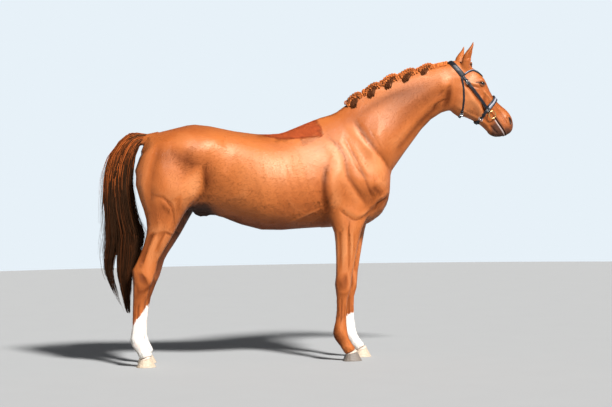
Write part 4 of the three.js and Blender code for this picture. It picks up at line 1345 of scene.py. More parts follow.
def stitch_places(node):
    """Where a strap's stitches lie along its edges on both sides of the head, and the way they run."""
    line, half, _ = STRAPS[node]
    smooth = curved(line, 12)
    spans = np.r_[0, np.cumsum(np.linalg.norm(np.diff(smooth, axis=0), axis=1))]
    at = np.arange(6, spans[-1] - 4, 6.0)
    middle = np.stack([np.interp(at, spans, smooth[:, k]) for k in range(2)], 1)
    run = unit(np.stack([np.interp(at, spans, np.gradient(smooth[:, k])) for k in range(2)], 1))
    found = []
    for edge in (-0.80, 0.80):
        for (x, z), (rx, rz) in zip(middle + edge * half * np.stack((-run[:, 1], run[:, 0]), 1), run):
            for side in (-1, 1):
                if node.endswith("right") and side > 0 or node.endswith("left") and side < 0:
                    continue
                hit, normal, way = strap_met(node, x, z, side)
                if hit is not None and abs(normal.dot(way)) > 0.35:
                    found.append((hit + normal * 0.25 * MM, Vector(head_turned((rx, 0, rz))[0]), normal))
    return found


def stitches_mesh(places, length=3.6, radius=0.55):
    """Many stitches as one mesh, each a short rounded thread."""
    bm = bmesh.new()
    bmesh.ops.create_cone(bm, cap_ends=True, segments=6, radius1=1, radius2=1, depth=2)
    sides = [e for e in bm.edges if abs(e.verts[0].co.z - e.verts[1].co.z) > 1]
    bmesh.ops.subdivide_edges(bm, edges=sides, cuts=1)
    for vert in bm.verts:
        if abs(vert.co.z) > 0.5:
            vert.co.xy *= 0.45
    thread = finished(bm)
    shape = rows(thread.vertices, "co", 3) * (radius * MM, radius * MM, length / 2 * MM)
    return many(thread, [shape @ np.array((run.cross(normal), normal, run)) + np.array(place)
                         for place, run, normal in places])


def many(template, placed):
    """Copies of a small mesh joined as one, each with its own vertex places."""
    count = len(placed)
    sizes = np.array([len(p.vertices) for p in template.polygons])
    corners = corners_of(template)
    total = len(template.vertices)
    mesh = bpy.data.meshes.new("many")
    mesh.vertices.add(total * count)
    mesh.vertices.foreach_set("co", np.asarray(placed, np.float32).ravel())
    mesh.loops.add(len(corners) * count)
    corners = corners + total * np.arange(count)[:, None]
    mesh.loops.foreach_set("vertex_index", corners.astype(np.int32).ravel())
    mesh.polygons.add(len(sizes) * count)
    start = np.r_[0, np.cumsum(np.tile(sizes, count))[:-1]]
    mesh.polygons.foreach_set("loop_start", start.astype(np.int32))
    mesh.update(calc_edges=True)
    bpy.data.meshes.remove(template)
    return mesh


def rounded_frame(wide, tall, corner, steps=5):
    """A rounded rectangle's outline, as places across and up."""
    out = []
    for k, (sx, sz) in enumerate(((1, 1), (-1, 1), (-1, -1), (1, -1))):
        for turn in np.linspace(k * math.pi / 2, (k + 1) * math.pi / 2, steps):
            out.append((sx * (wide / 2 - corner) + corner * math.cos(turn),
                        sz * (tall / 2 - corner) + corner * math.sin(turn)))
    return np.array(out)


def on_axes(place, along, out, offsets):
    """Places at offsets across a strap, along it and out from it, in millimetres, and the way out."""
    along = along.normalized()
    across = along.cross(out).normalized()
    out = across.cross(along)
    return np.array(place) + np.array(offsets) @ np.array((across, along, out)) * MM, out


def buckle(bm, place, along, out, wide, tall, wire):
    """A buckle's frame, its middle bar and its tongue, on a strap that runs along."""
    outline = [(u, v, 1.0 + 0.5 * abs(v) / tall) for u, v in rounded_frame(wide, tall, 3.0)]
    bar = ((-wide / 2, 0, 0.4), (0, 0, 0.8), (wide / 2, 0, 0.4))
    tongue = ((0, -0.5, 1.2), (0, tall * 0.2, 2.6), (0, tall * 0.42, 3.0), (0, tall * 0.56, 2.2))
    line, up = on_axes(place, along, out, outline)
    closed_tube(bm, line, wire * MM, up)
    for rod, radii in ((bar, 1.1), (tongue, (1.3, 1.2, 1.1, 0.8))):
        tube(bm, on_axes(place, along, out, rod)[0], np.array(radii) * MM, 8, up=up)


def closed_tube(bm, line, radius, up, around=8):
    """A tube round a closed line."""
    line = np.asarray(line, float)
    runs = np.roll(line, -1, axis=0) - np.roll(line, 1, axis=0)
    rings = []
    for place, run in zip(line, runs):
        made = bmesh.ops.create_circle(bm, cap_ends=False, segments=around, radius=radius)["verts"]
        run = Vector(run).normalized()
        out = run.cross(Vector(up)).normalized()
        turned = Matrix((out, out.cross(run) * -1, run)).transposed().to_4x4()
        turned.translation = Vector(place)
        bmesh.ops.transform(bm, matrix=turned, verts=made)
        rings.append(list({edge for vert in made for edge in vert.link_edges}))
    for ring, after in zip(rings, rings[1:] + rings[:1]):
        bmesh.ops.bridge_loops(bm, edges=ring + after)


def keeper(bm, place, along, out, wide, thick=9, tall=7.0):
    """A leather loop round a strap."""
    for v in np.linspace(-tall / 2, tall / 2, 4):
        outline = [(u, v, w) for u, w in rounded_frame(wide, thick, thick * 0.42, 4)]
        closed_tube(bm, on_axes(place, along, out, outline)[0], 1.25 * MM, along, 6)


def on_strap(node, x, z, side):
    """The place on a strap's outside at a place in side view, how the strap runs there, and the way out."""
    hit, normal, _ = strap_met(node, x, z, side)
    if hit is None:
        raise RuntimeError(f"no strap {node} at {x}, {z}")
    line = curved(STRAPS[node][0], 12)
    k = int(np.clip(np.argmin(np.hypot(line[:, 0] - x, line[:, 1] - z)), 1, len(line) - 2))
    run = line[k + 1] - line[k - 1]
    return hit, Vector(head_turned((run[0], 0, run[1]))[0]), normal


# Keepers as [strap, X, Z, width], and buckles as [strap, X, Z, way along it, width, height, wire].
KEEPERS = (("cheekpiece", 1112, 1902, 25), ("cheekpiece", 1128, 1880, 25), ("cheekpiece", 1262, 1712, 25),
           ("chin_strap", 1240, 1664, 29), ("chin_strap", 1208, 1612, 29), ("throatlash", 1088, 1690, 18))
BUCKLES = (("cheekpiece", 1120, 1891, -1, 27, 20, 1.5), ("cheekpiece", 1271, 1701, 1, 24, 16, 1.3),
           ("chin_strap", 1224, 1640, 1, 31, 20, 1.5), ("throatlash", 1088, 1672, -1, 20, 16, 1.3))
SIDES = {"right": -1, "left": 1}


def fitted(table):
    """Places a table's fittings, on both cheekpieces and on the right of the other straps."""
    for end, side in (*SIDES.items(), ("", -1)):
        for strap, x, z, *sizes in table:
            if bool(end) == (strap == "cheekpiece"):
                yield *on_strap(strap + "_" * bool(end) + end, x, z, side), sizes


def outward(bm):
    """A mesh with its doubled corners joined and its faces pointing out."""
    bmesh.ops.remove_doubles(bm, verts=bm.verts, dist=0.01 * MM)
    bmesh.ops.recalc_face_normals(bm, faces=bm.faces)
    return finished(bm)


def bit_ring_mesh(side):
    """A loose ring, and the end of the mouthpiece that it passes through."""
    bm = bmesh.new()
    centre = np.array((1301.0, side * 73.5, 1667.0))
    turn = np.linspace(0, math.tau, 48, endpoint=False)
    ring = centre + np.stack((np.cos(turn) * 25, 0 * turn, np.sin(turn) * 25), 1)
    up = Vector(head_turned((0, side, 0))[0])
    closed_tube(bm, from_head(ring), 3.0 * MM, up, 12)
    eye = centre + (20, 0, -15)
    path = np.array([eye + (0, side * 7.0, 0), eye + (0, side * 5.0, 0), eye, eye - (0, side * 9, 0),
                     eye - (-4, side * 26, -3)])
    tube(bm, from_head(path), np.array((3.0, 5.4, 6.6, 5.8, 5.0)) * MM, 14, up=(0, 0, 1))
    return outward(bm)


# ---- tufts of the short coat

def skin_surface():
    """The skin's triangles: their corners, the corners' normals, their areas, and a tree to search them."""
    held = bpy.data.objects.get("skin")
    if held is None:
        raise RuntimeError("the coat grows on the skin, which is not made yet")
    mesh = held.data
    mesh.calc_loop_triangles()
    corner = rows(mesh.loop_triangles, "vertices", 3, np.int32).astype(int)
    places, facing = shape_of(mesh)
    co, normal = places[corner], facing[corner]
    area = np.linalg.norm(np.cross(co[:, 1] - co[:, 0], co[:, 2] - co[:, 0]), axis=1) / 2
    return co, normal, area, BVHTree.FromPolygons(places.tolist(), corner.tolist())


def rooted(surface_of, weight, count, rng):
    """Random roots on the skin, as close together as the weight says, with the way the skin faces there."""
    co, normal, area, _ = surface_of
    share = area * np.maximum(weight, 0)
    if share.sum() <= 0:
        raise RuntimeError("there is no skin for these tufts to grow on")
    pick = rng.choice(len(area), count, p=share / share.sum())
    a, b = np.sqrt(rng.random(count)), rng.random(count)
    part = np.stack((1 - a, a * (1 - b), a * b), 1)[:, :, None]
    root = (co[pick] * part).sum(1)
    return root, unit((normal[pick] * part).sum(1))


def lie_of_coat(co, normal):
    """The way the hair runs along the skin at each place."""
    x, y, z = source(co)
    place = regions(co)
    local = to_head(co)
    hx, hy, hz = local.T
    side = np.sign(y) + (y == 0)

    def everywhere(way):
        return np.stack([np.broadcast_to(part, len(co)) for part in way], 1)

    def blend(way, share, toward):
        return way * (1 - share[:, None]) + everywhere(toward) * share[:, None]

    way = everywhere((-1.0, 0.0, -0.26))
    way = blend(way, ramp(x, 60, 330), (-0.55, 0, -0.85))
    way = blend(way, ramp(-x, 760, 1000), (-0.30, 0, -1))
    way = blend(way, bump((x + 700) / 90, (z - 1190) / 150), (-0.2, 0.25 * side, 0.9))
    way = blend(way, ramp(x, 430, 530) * (1 - place["neck"]), (-0.1, 0.35 * side, -0.9))
    way = blend(way, place["neck"], (-0.62, 0, -0.80))
    way = blend(way, ramp(-z, -1020, -880), (-0.06, 0, -1))
    away = bump((hx - 1190) / 70, hy / 60)
    cheek = ramp(1260 - hx - 0.5 * (hz - 1800), 0, 90)
    ahead_of = blend(everywhere((0.70, 0.1 * side, -0.72)), cheek, (-0.25, 0, -1))
    ahead_of = blend(ahead_of, away * (hz > 1930), (-0.5, 0.3 * side, 0.8))
    ahead_of = blend(ahead_of, place["ear"], (0.1, 0, 1))
    way = way * (1 - place["head"][:, None]) + head_turned(ahead_of) * place["head"][:, None]
    way -= normal * (way * normal).sum(1)[:, None]
    return way / np.maximum(np.linalg.norm(way, axis=1), 1e-6)[:, None]


# The middles of the drawn legs along X at heights.
LEG_MIDDLES = {"fore": ((0, 120, 500, 1000), (262, 235, 228, 250)),
               "hind": ((0, 120, 500, 700, 1000), (-1110, -1150, -1160, -1120, -970))}


def unwrapped(co):
    """The skin laid out flat: the trunk, neck, head, ears and each leg are rolled out side by side."""
    x, y, z = source(co)
    place = regions(co)
    local = to_head(co)
    hx, hy, hz = local.T
    u = np.zeros(len(co))
    v = np.zeros(len(co))

    def tile(mask, left, low, wide, tall, turn, length):
        u[mask] = (left + wide * (0.02 + 0.96 * (turn / math.tau + 0.5)))[mask]
        v[mask] = (low + tall * (0.02 + 0.96 * np.clip(length, 0, 1)))[mask]

    around = np.arctan2(y, z - np.interp(x, (-1100, -700, 0, 500), (1320, 1290, 1250, 1300)))
    tile(np.ones(len(co), bool), 0, 0, 1.0, 0.44, around, (x + 1140) / 1720)
    axis = np.interp(x, (200, 600, 1000), (1420, 1650, 1830))
    tile(place["neck"] > 0.5, 0, 0.45, 0.5, 0.25, np.arctan2(y, z - axis), (x - 150) / 950)
    axis = np.interp(hx, (1000, 1200, 1440), (1880, 1780, 1600))
    tile(place["head"] > 0.5, 0.5, 0.45, 0.5, 0.25, np.arctan2(hy, hz - axis),
         (hx - 960) / 540)
    tile(place["ear"] > 0.5, 0.80, 0.71, 0.19, 0.26, np.arctan2(abs(hy) - 62, hx - 1090)
         * np.sign(hy) * 0.5 + np.sign(hy) * 1.5, (hz - 2000) / 180)
    for k, (name, leg) in enumerate(LEGS.items()):
        turn = np.arctan2(abs(y) - 150, x - ahead(leg, z) - np.interp(z, *LEG_MIDDLES[name[:4]]))
        tile(at_leg(name, x, y, z, 1000, HAUNCH), 0.2 * k, 0.71, 0.19, 0.26, turn, z / 1000)
    return u, v


def tuft_shape(stations, radii):
    """One tuft: a flat spindle of three sides, as places across, up and along it."""
    bm = bmesh.new()
    tube(bm, [(0, 0, at) for at in stations], radii, 3, 0.2, (0, 1, 0))
    bmesh.ops.remove_doubles(bm, verts=bm.verts, dist=1e-4)
    bmesh.ops.recalc_face_normals(bm, faces=bm.faces)
    bmesh.ops.triangulate(bm, faces=bm.faces)
    return finished(bm, "tuft")


# The stations and radii of a tuft that lies flat, and of one that stands out and bends.
TUFTS = (((0, 0.38, 1), (0, 0.5, 0)), ((0, 0.3, 0.65, 1), (0, 0.5, 0.42, 0)))


def tufts(tree, root, normal, length, width, stand, rng):
    """Many tufts as one mesh, laid on the skin. Their tips stand out from it by so many millimetres."""
    count = len(root)
    way = lie_of_coat(root, normal)
    across = np.cross(normal, way)
    turn = rng.normal(0, 0.16, count)[:, None]
    way, across = way * np.cos(turn) - across * np.sin(turn), across * np.cos(turn) + way * np.sin(turn)
    template = tuft_shape(*TUFTS[stand > 1])
    shape = rows(template.vertices, "co", 3)
    t = np.round(shape[:, 2], 4)
    length = (length * rng.uniform(0.7, 1.3, count))[:, None] * MM
    width = (width * rng.uniform(0.75, 1.3, count))[:, None] * MM
    high = (stand * rng.uniform(0.4, 1.3, count))[:, None] * MM
    sway = rng.normal(0, 0.07, count)[:, None] * length
    corners = corners_of(template)
    upper = np.repeat(rows(template.polygons, "normal", 3)[:, 1] > -0.5, 3)[:, None]
    placed = np.empty((count, len(t), 3))
    facing = np.empty((count, len(t), 3))
    for at in np.unique(t):
        middle, out = root, normal
        if at > 0:
            wanted = root + way * length * at + across * sway * at ** 2
            found = [tree.find_nearest(place)[:2] for place in wanted.tolist()]
            middle, out = np.array(found).swapaxes(0, 1)
        lift = high * at ** 1.5 + (0.2 if at else -0.25) * MM
        for corner in np.flatnonzero(t == at):
            u, v, _ = shape[corner]
            placed[:, corner] = middle + across * width * u + out * (width * v + lift)
            facing[:, corner] = out + 0.7 * across * u
    mesh = many(template, placed)
    mesh.normals_split_custom_set(unit(facing[:, corners] * np.where(upper, 1, -1)).reshape(-1, 3))
    for name, values in markings(root).items():
        keep(mesh, name, np.repeat(values, len(t)))
    keep(mesh, "lot", np.repeat(rng.random(count), len(t)))
    keep(mesh, "along", np.tile(t, count))
    u, v = (at[:, None] for at in unwrapped(root))
    patches(mesh, (u + PATCH_LENGTH * (shape[:, 0] * 0.8 + 0.5)).ravel(), (v + PATCH_LENGTH * t).ravel())
    return mesh


def coat_areas(co, normal):
    """Where the different kinds of coat grow, as a weight for each place."""
    x, y, z = source(co)
    place = regions(co)
    local = to_head(co)
    hx, _, hz = local.T
    saddle = inside(np.stack((x, z), 1), PATCH)
    feet = ramp(-z, -330, -250)
    limbs = ramp(-z, -960, -900)
    trunk = (1 - place["head"]) * (1 - place["neck"]) * (1 - limbs)
    face = place["head"] * (1 - place["ear"])
    lips = ramp(hx - 0.25 * (hz - 1600), 1440, 1470)
    bare = face * (1 - np.minimum(1, bump((hx - EYE[0]) / 17, (hz - EYE[2]) / 11)
                                  + (nostril_near(local) < 1.5)))
    behind = ramp(-normal[:, 0], 0.35, 0.85)
    under = ramp(-normal[:, 2], 0.3, 0.8)
    folds = bump((x - 110) / 60, (z - 1040) / 60) + bump((x + 715) / 60, (z - 1130) / 90)
    folds += 0.7 * under * bump((z - 960) / 70) * (abs(y) < 120) + bump((x - 480) / 60, (z - 1130) / 60) * 0.8
    folds += bump((x + 1075) / 50, (z - 1350) / 160) * bump(y / 60)
    jaw = face * under * within(hx, 1030, 1430)
    legs = limbs * (1 - feet * 0.3) * (z > 84) * (1 + feet * 1.2)
    clipped = trunk * (saddle < -8)
    loin, withers = ramp(x, -520, -500), ramp(x, 40, 60)
    crest = bump(y / 16) * ramp(normal[:, 2], 0.2, 0.7) * within(x, 150, 1000)
    return {
        "barrel": clipped * loin * (1 - withers),
        "quarters": trunk * (1 - loin),
        "forehand": clipped * withers,
        "neck": place["neck"] * (1 - place["head"]),
        "forelegs": legs * (x > BEHIND_ARM),
        "hindlegs": legs * (x < BEHIND_ARM),
        "face": bare * (1 + 1.2 * lips) * (hx > 1000),
        "ears": place["ear"],
        "saddle": (saddle > -6) * trunk,
        "folds": folds * trunk,
        "jaw": jaw,
        "fetlocks": behind * (bump((z - 165) / 60) + 0.35 * bump((z - 330) / 110)),
        "coronets": within(z, 78, 92).astype(float),
        "crest": crest * (1 - place["head"] * 0.5),
    }


# Each area's tufts: how many, and their length, width and stand in millimetres.
COATS = (
    ("barrel", 15500, 21, 2.6, 0.2), ("quarters", 18000, 20, 2.5, 0.25), ("forehand", 10000, 19, 2.4, 0.25),
    ("neck", 13500, 18, 2.3, 0.25), ("forelegs", 12500, 12, 1.7, 0.3), ("hindlegs", 15000, 13, 1.8, 0.3),
    ("face", 18000, 8, 1.2, 0.2), ("ears", 4000, 9, 1.1, 0.4), ("saddle", 7000, 24, 2.6, 2.0),
    ("folds", 4500, 22, 1.9, 2.2), ("jaw", 3000, 12, 1.2, 1.6), ("fetlocks", 4000, 21, 1.5, 3.4),
    ("coronets", 2000, 13, 1.4, 1.2), ("crest", 2000, 24, 1.6, 2.4))


def tuft_material():
    """The coat's own colour, a little darker at each tuft's root as painted shade, and varied from tuft to
    tuft.
    """
    made, tree, shader = surface("Coat in tufts", Specular_Tint=COAT_SHEEN)
    drive(shader, Roughness=plus(0.44, dulled(tree, shader, 0.40)))
    body = coat_colour(tree)
    # Painted shade at each tuft's root, and random variation from tuft to tuft.
    shade = plus(times(stored(tree, "lot"), 0.12), scaled(stored(tree, "along"), 0.08, 0.95))
    grey = put(tree, "CombineColor", {0: shade, 1: shade, 2: shade}).outputs[0]
    drive(shader, Base_Color=mix(1.0, body, grey, "MULTIPLY"))
    return made


# ---- settings

def colour(name, default, about):
    return bpy.props.FloatVectorProperty(name=name, description=about, default=default, size=3,
                                         subtype="COLOR", min=0, max=1)


def number(name, default, about, **limits):
    kind = bpy.props.IntProperty if isinstance(default, int) else bpy.props.FloatProperty
    return kind(name=name, description=about, default=default, **limits)


class HorseCoat(bpy.types.PropertyGroup):
    """The skin and short coat."""
    skin_cell: number("Skin cell", 0.004, "Size of the cells that fuse the skin", min=0.003, max=0.02,
                      unit="LENGTH")
    skin_faces: number("Skin faces", 194000, "Most triangles in the skin", min=20000, max=199000)
    fullness: number("Fullness", 1.0, "Share of the tufts that are grown", min=0.01, max=1.2)
    chestnut: colour("Chestnut", (0.320, 0.076, 0.0135), "The coat's main colour")
    chestnut_light: colour("Light chestnut", (0.400, 0.108, 0.0215), "Where the coat is lighter")
    # Both the coat's painted shade in folds and hollows and its random mottling.
    chestnut_shade_and_mottle: colour("Deep chestnut", (0.112, 0.024, 0.005), "The coat in folds and hollows")
    # The coat's painted highlight on rises and ridges.
    chestnut_painted_highlight: colour("Bright chestnut", (0.52, 0.190, 0.065), "The coat on rises")
    patch: colour("Saddle patch", (0.42, 0.078, 0.020), "The unclipped coat under the saddle")
    patch_deep: colour("Deep saddle patch", (0.24, 0.040, 0.012), "The unclipped coat in its own shade")
    white: colour("White", (0.66, 0.62, 0.57), "The stockings")
    pink: colour("Flushed white", (0.62, 0.36, 0.27), "White hair over pink skin")
    # Also the painted shade on the inner hind legs, under the groin and flank, in the nostrils' openings and
    # in the creases behind the eyes.
    dark_skin_and_shade: colour("Dark skin", (0.026, 0.013, 0.010), "Bare skin of the muzzle and eyelids")


class HorseHair(bpy.types.PropertyGroup):
    """The mane and tail."""
    tail_hairs: number("Tail hairs", 2400, "How many hairs the tail holds", min=300, max=6000)
    tail_root: colour("Tail root", (0.21, 0.048, 0.010), "The tail's hair near the dock")
    tail_tip: colour("Tail tip", (0.021, 0.009, 0.0045), "The tail's hair low down")
    mane: colour("Mane", (0.36, 0.10, 0.026), "The plaited mane")
    # A lighter copy of the mane colour: painted light on the hair drawn up over the crest.
    mane_painted_light: colour("Bright mane", (0.42, 0.115, 0.028), "The mane where it is drawn up")
    # The mane's colour in painted shade, for hair under the plaits and lower down.
    mane_painted_shade: colour("Deep mane", (0.070, 0.021, 0.008), "The mane in its own shade")


class HorseTack(bpy.types.PropertyGroup):
    """The bridle."""
    leather: colour("Leather", (0.008, 0.008, 0.011), "The bridle's black leather")
    leather_worn: colour("Worn leather", (0.026, 0.025, 0.030), "Where the leather is worn")
    padding: colour("Padding", (0.28, 0.29, 0.34), "The pale padding of the noseband and browband")
    thread: colour("Thread", (0.10, 0.10, 0.11), "The stitches")
    brass: colour("Brass", (0.78, 0.50, 0.20), "The bit's rings")


class HorseStage(bpy.types.PropertyGroup):
    """The floor and the light."""
    floor: colour("Floor", (0.32, 0.32, 0.316), "The plain floor")
    backdrop: colour("Backdrop", (0.80, 0.88, 0.94), "The pale light round the horizon")
    overhead: colour("Overhead", (0.09, 0.095, 0.105), "The dim light from overhead")
    key: number("Key light", 8.5, "Strength of the main light", min=0)
    fill: number("Fill light", 0.07, "Strength of the fill light", min=0)


# ---- operators

class HORSE_OT_skin(bpy.types.Operator):
    """Fuses the flesh into one skin with its muscles, veins, folds, lids, markings and painted light and
    shade
    """
    bl_idname = "horse.skin"
    bl_label = "Skin"

    def execute(self, context):
        mesh = skin_mesh()
        co = rows(mesh.vertices, "co", 3)
        place = regions(co)
        for name, values in markings(co).items():
            keep(mesh, name, values)
        keep(mesh, "on_leg", sum(place[name] for name in LEGS))
        keep(mesh, "on_neck", np.clip(place["neck"] + place["head"], 0, 1))
        piece("skin", mesh, skin_material(), FLESH)
        return {"FINISHED"}


class HORSE_OT_tail(bpy.types.Operator):
    """Hangs the tail's hair on the dock, in locks that part lower down"""
    bl_idname = "horse.tail"
    bl_label = "Tail"

    def execute(self, context):
        hair = context.scene.horse_hair
        rng = np.random.default_rng(SEEDS["tail"])
        made = hair_material("Tail hair", (2.68, 3.00), hair.tail_root, hair.tail_tip, lean=1.1, shine=0.16)
        inner = tail_hairs(hair.tail_hairs // 3, rng, (0.0, 0.5), 3.6)
        piece("tail_inner", hair_mesh(*inner, rng), made, ("tail",))
        outer = tail_hairs(hair.tail_hairs - hair.tail_hairs // 3, rng, (0.45, 1.0), 2.2)
        half = len(outer[0]) // 2
        for name, part in (("tail_outer_a", slice(None, half)), ("tail_outer_b", slice(half, None))):
            piece(name, hair_mesh(outer[0][part], outer[1][part], rng), made, ("tail",))
        piece("tail_wisps", hair_mesh(*tail_wisps(90, rng), rng), made, ("tail",))
        return {"FINISHED"}


class HORSE_OT_plaits(bpy.types.Operator):
    """Plaits the mane along the crest, and ties up the forelock"""
    bl_idname = "horse.plaits"
    bl_label = "Plaits"

    def execute(self, context):
        hair = context.scene.horse_hair
        rng = np.random.default_rng(SEEDS["mane"])
        over, under, drawn, shaded = plait_hairs(rng)
        knot, gathered = forelock_hairs(rng)
        # The plaits darken from the mane colour to its painted-shade colour lower down. The drawn-up hair
        # takes a lighter copy as painted light. The folds under the plaits, the drape and the gathered
        # forelock hair take the painted-shade colour.
        levels = (1.60, 1.95)
        made = hair_material("Plaited mane", levels, hair.mane, hair.mane_painted_shade, shine=0.2)
        bright = hair_material("Mane drawn up in painted light", levels, tinted(hair.mane_painted_light, 1.25), hair.mane, shine=0.2)
        deep = hair_material("Mane in painted shade", (1.60, 2.20), hair.mane_painted_shade, hair.mane_painted_shade, shine=0.1)
        for name, hairs, finish in (
                ("mane_plaits", over, made), ("mane_under", under, deep), ("mane_shaded", shaded, deep),
                ("mane_drawn", drawn, bright), ("forelock_knot", knot, made),
                ("forelock_gathered", gathered, deep)):
            piece(name, hair_mesh(*hairs, rng), finish)
        return {"FINISHED"}


class HORSE_OT_hooves(bpy.types.Operator):
    """Shapes the four hooves with their rings and coronets"""
    bl_idname = "horse.hooves"
    bl_label = "Hooves"

    def execute(self, context):
        grey = hoof_material("Grey horn", (0.20, 0.165, 0.135), (0.085, 0.068, 0.056))
        pale = hoof_material("Pale horn", (0.52, 0.42, 0.31), (0.30, 0.22, 0.15))
        for leg in ("fore_right", "fore_left", "hind_right", "hind_left"):
            node = "hoof_" + leg
            piece("horn_" + leg, hoof_mesh(node), grey if leg == "fore_right" else pale, (node,))
        return {"FINISHED"}


class HORSE_OT_eyes(bpy.types.Operator):
    """Sets the eyes behind their lids, with lashes"""
    bl_idname = "horse.eyes"
    bl_label = "Eyes"

    def execute(self, context):
        made = eye_material()
        for name, side in SIDES.items():
            piece("eyeball_" + name, eyeball_mesh(side), made, ("eye_" + name,))
        rng = np.random.default_rng(SEEDS["lashes"])
        lashes = hair_material("Lashes", (0.5, 3.0), (0.02, 0.012, 0.01), (0.015, 0.01, 0.008))
        piece("eyelashes", hair_mesh(*lash_hairs(rng), rng), lashes)
        return {"FINISHED"}


class HORSE_OT_straps(bpy.types.Operator):
    """Makes the bridle's straps, their stitches and keepers"""
    bl_idname = "horse.straps"
    bl_label = "Straps"

    def execute(self, context):
        finishes = {kind: leather_material("Leather " + kind, kind) for kind in CROWNS}
        for node, (_, _, kind) in STRAPS.items():
            piece("strap_" + node, strap_mesh(node), finishes[kind], (node,))
        thread, tree, shader = surface("Thread", Roughness=0.7)
        twist = noise(object_places(tree), 2400, 2)
        tack = context.scene.horse_tack
        drive(shader, Base_Color=mix(twist, tack.thread, tinted(tack.thread, 0.5)))
        places = [place for node in STRAPS for place in stitch_places(node)]
        piece("stitches", stitches_mesh(places), thread)
        bm = bmesh.new()
        for place, along, out, (wide,) in fitted(KEEPERS):
            keeper(bm, place - out * 1.6 * MM, along, out, wide)
        mesh = outward(bm)
        keep(mesh, "across", np.full(len(mesh.vertices), 0.4))
        piece("keepers", mesh, finishes["plain"])
        return {"FINISHED"}


class HORSE_OT_metal(bpy.types.Operator):
    """Makes the bit's rings and the bridle's buckles"""
    bl_idname = "horse.metal"
    bl_label = "Bit and buckles"

    def execute(self, context):
        tack = context.scene.horse_tack
        brass = metal_material("Brass", tack.brass, 0.16)
        for name, side in SIDES.items():
            piece("ring_" + name, bit_ring_mesh(side), brass, ("bit_ring_" + name,))
        bm = bmesh.new()
        for place, along, out, (way, *sizes) in fitted(BUCKLES):
            buckle(bm, place + out * 1.2 * MM, along * way, out, *sizes)
        piece("buckles", outward(bm), metal_material("Steel", (0.75, 0.74, 0.72), 0.18))
        return {"FINISHED"}


class HORSE_OT_coat(bpy.types.Operator):
    """Lays the short coat's tufts along the skin, and lets them stand out where it breaks the outline"""
    bl_idname = "horse.coat"
    bl_label = "Coat"

    def execute(self, context):
        grown = skin_surface()
        weights = coat_areas(grown[0].mean(1), grown[1].mean(1))
        made = tuft_material()
        share = context.scene.horse_coat.fullness * 1
        for seed, (area, count, *sizes) in enumerate(COATS, SEEDS["coat"]):
            rng = np.random.default_rng(seed)
            root, normal = rooted(grown, weights[area], int(count * share), rng)
            piece("coat_" + area, tufts(grown[3], root, normal, *sizes, rng), made)
        return {"FINISHED"}


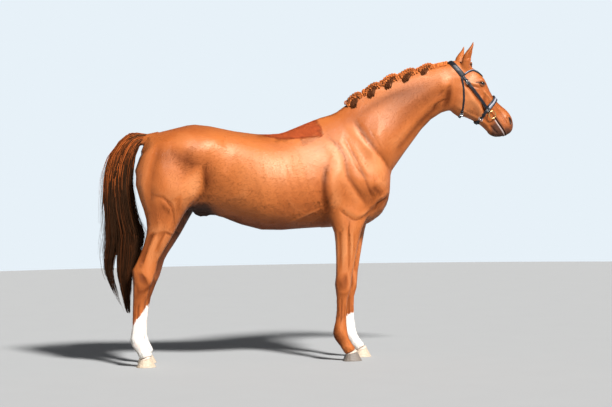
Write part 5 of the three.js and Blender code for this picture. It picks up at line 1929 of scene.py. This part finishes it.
class HORSE_OT_stage(bpy.types.Operator):
    """Lays the floor, hangs the lights and sets the camera"""
    bl_idname = "horse.stage"
    bl_label = "Stage"

    def execute(self, context):
        stage = context.scene.horse_stage
        bm = bmesh.new()
        bmesh.ops.create_circle(bm, cap_ends=True, segments=96, radius=14)
        floor = linked("floor", finished(bm, "floor"))
        made, tree, shader = surface("Studio floor", Roughness=0.9)
        grain = noise(object_places(tree), 3.0, 4)
        pale = stage.floor
        drive(shader, Base_Color=mix(grain, pale, tinted(pale, 0.96)))
        floor.data.materials.append(made)

        context.scene.view_settings.view_transform = "Standard"
        world = context.scene.world or bpy.data.worlds.new("Studio")
        context.scene.world = world
        world.use_nodes = True
        tree = world.node_tree
        backdrop = tree.nodes.get("Background") or tree.nodes.new("ShaderNodeBackground")
        height = put(tree, "SeparateXYZ", {0: put(tree, "TexCoord").outputs["Generated"]}).outputs[2]
        tree.links.new(mix(between(height, 0.12, 0.28), stage.backdrop, stage.overhead),
                       backdrop.inputs[0])

        for name, place, soft, power in (("key", (0.42, -0.98, 0.92), 9, stage.key),
                                         ("fill", (-0.75, -0.62, 0.30), 60, stage.fill),
                                         ("back", (0.15, 0.95, 0.55), 50, stage.fill * 1.3)):
            light = bpy.data.lights.new(name, "SUN")
            light.angle, light.energy = math.radians(soft), power
            lamp = linked(name, light)
            lamp.location = 6 * Vector(place)
            lamp.rotation_mode = "QUATERNION"
            lamp.rotation_quaternion = Vector(place).to_track_quat("Z", "Y")

        lens = bpy.data.cameras.new("camera")
        lens.sensor_width, lens.lens = 36.0, 98.76
        lens.clip_start, lens.clip_end = 0.1, 100
        lens.dof.use_dof = False
        camera = linked("camera", lens)
        turn, tilt, roll, far = math.radians(-8), math.atan(18.5 / 1679.0), math.radians(0.9), 11.5
        flat = math.cos(tilt)
        forward = Vector((-math.sin(turn) * flat, math.cos(turn) * flat, -math.sin(tilt)))
        level = Vector((math.cos(turn), math.sin(turn), 0))
        upright = level.cross(forward)
        right = level * math.cos(roll) - upright * math.sin(roll)
        over = upright * math.cos(roll) + level * math.sin(roll)
        camera.matrix_world = Matrix((right, over, -forward)).transposed().to_4x4()
        camera.location = (far * math.sin(turn) - CENTRE * MM, -far * math.cos(turn), 1.2)
        context.scene.camera = camera
        return {"FINISHED"}


class HORSE_PT_panel(bpy.types.Panel):
    """Lists the horse's makers in the order they run"""
    bl_idname = "HORSE_PT_panel"
    bl_label = "Chestnut stallion"
    bl_space_type = "VIEW_3D"
    bl_region_type = "UI"
    bl_category = "Horse"

    def draw(self, context):
        for maker in MAKERS:
            self.layout.operator(maker.bl_idname)
        for group in SETTINGS:
            box = self.layout.box()
            box.label(text=group)
            held = getattr(context.scene, group)
            for name in held.bl_rna.properties.keys()[2:]:
                box.prop(held, name)


MAKERS = (HORSE_OT_skin, HORSE_OT_eyes, HORSE_OT_hooves, HORSE_OT_plaits, HORSE_OT_tail, HORSE_OT_straps,
          HORSE_OT_metal, HORSE_OT_coat, HORSE_OT_stage)
SETTINGS = {"horse_coat": HorseCoat, "horse_hair": HorseHair, "horse_tack": HorseTack,
            "horse_stage": HorseStage}


def register():
    for made in (*SETTINGS.values(), *MAKERS, HORSE_PT_panel):
        bpy.utils.register_class(made)
    for name, group in SETTINGS.items():
        setattr(bpy.types.Scene, name, bpy.props.PointerProperty(type=group))


def unregister():
    for name in SETTINGS:
        delattr(bpy.types.Scene, name)
    for made in reversed((*SETTINGS.values(), *MAKERS, HORSE_PT_panel)):
        bpy.utils.unregister_class(made)


def main():
    register()
    for maker in MAKERS:
        getattr(bpy.ops.horse, maker.bl_idname.split(".")[1])()


if __name__ == "__main__":
    main()
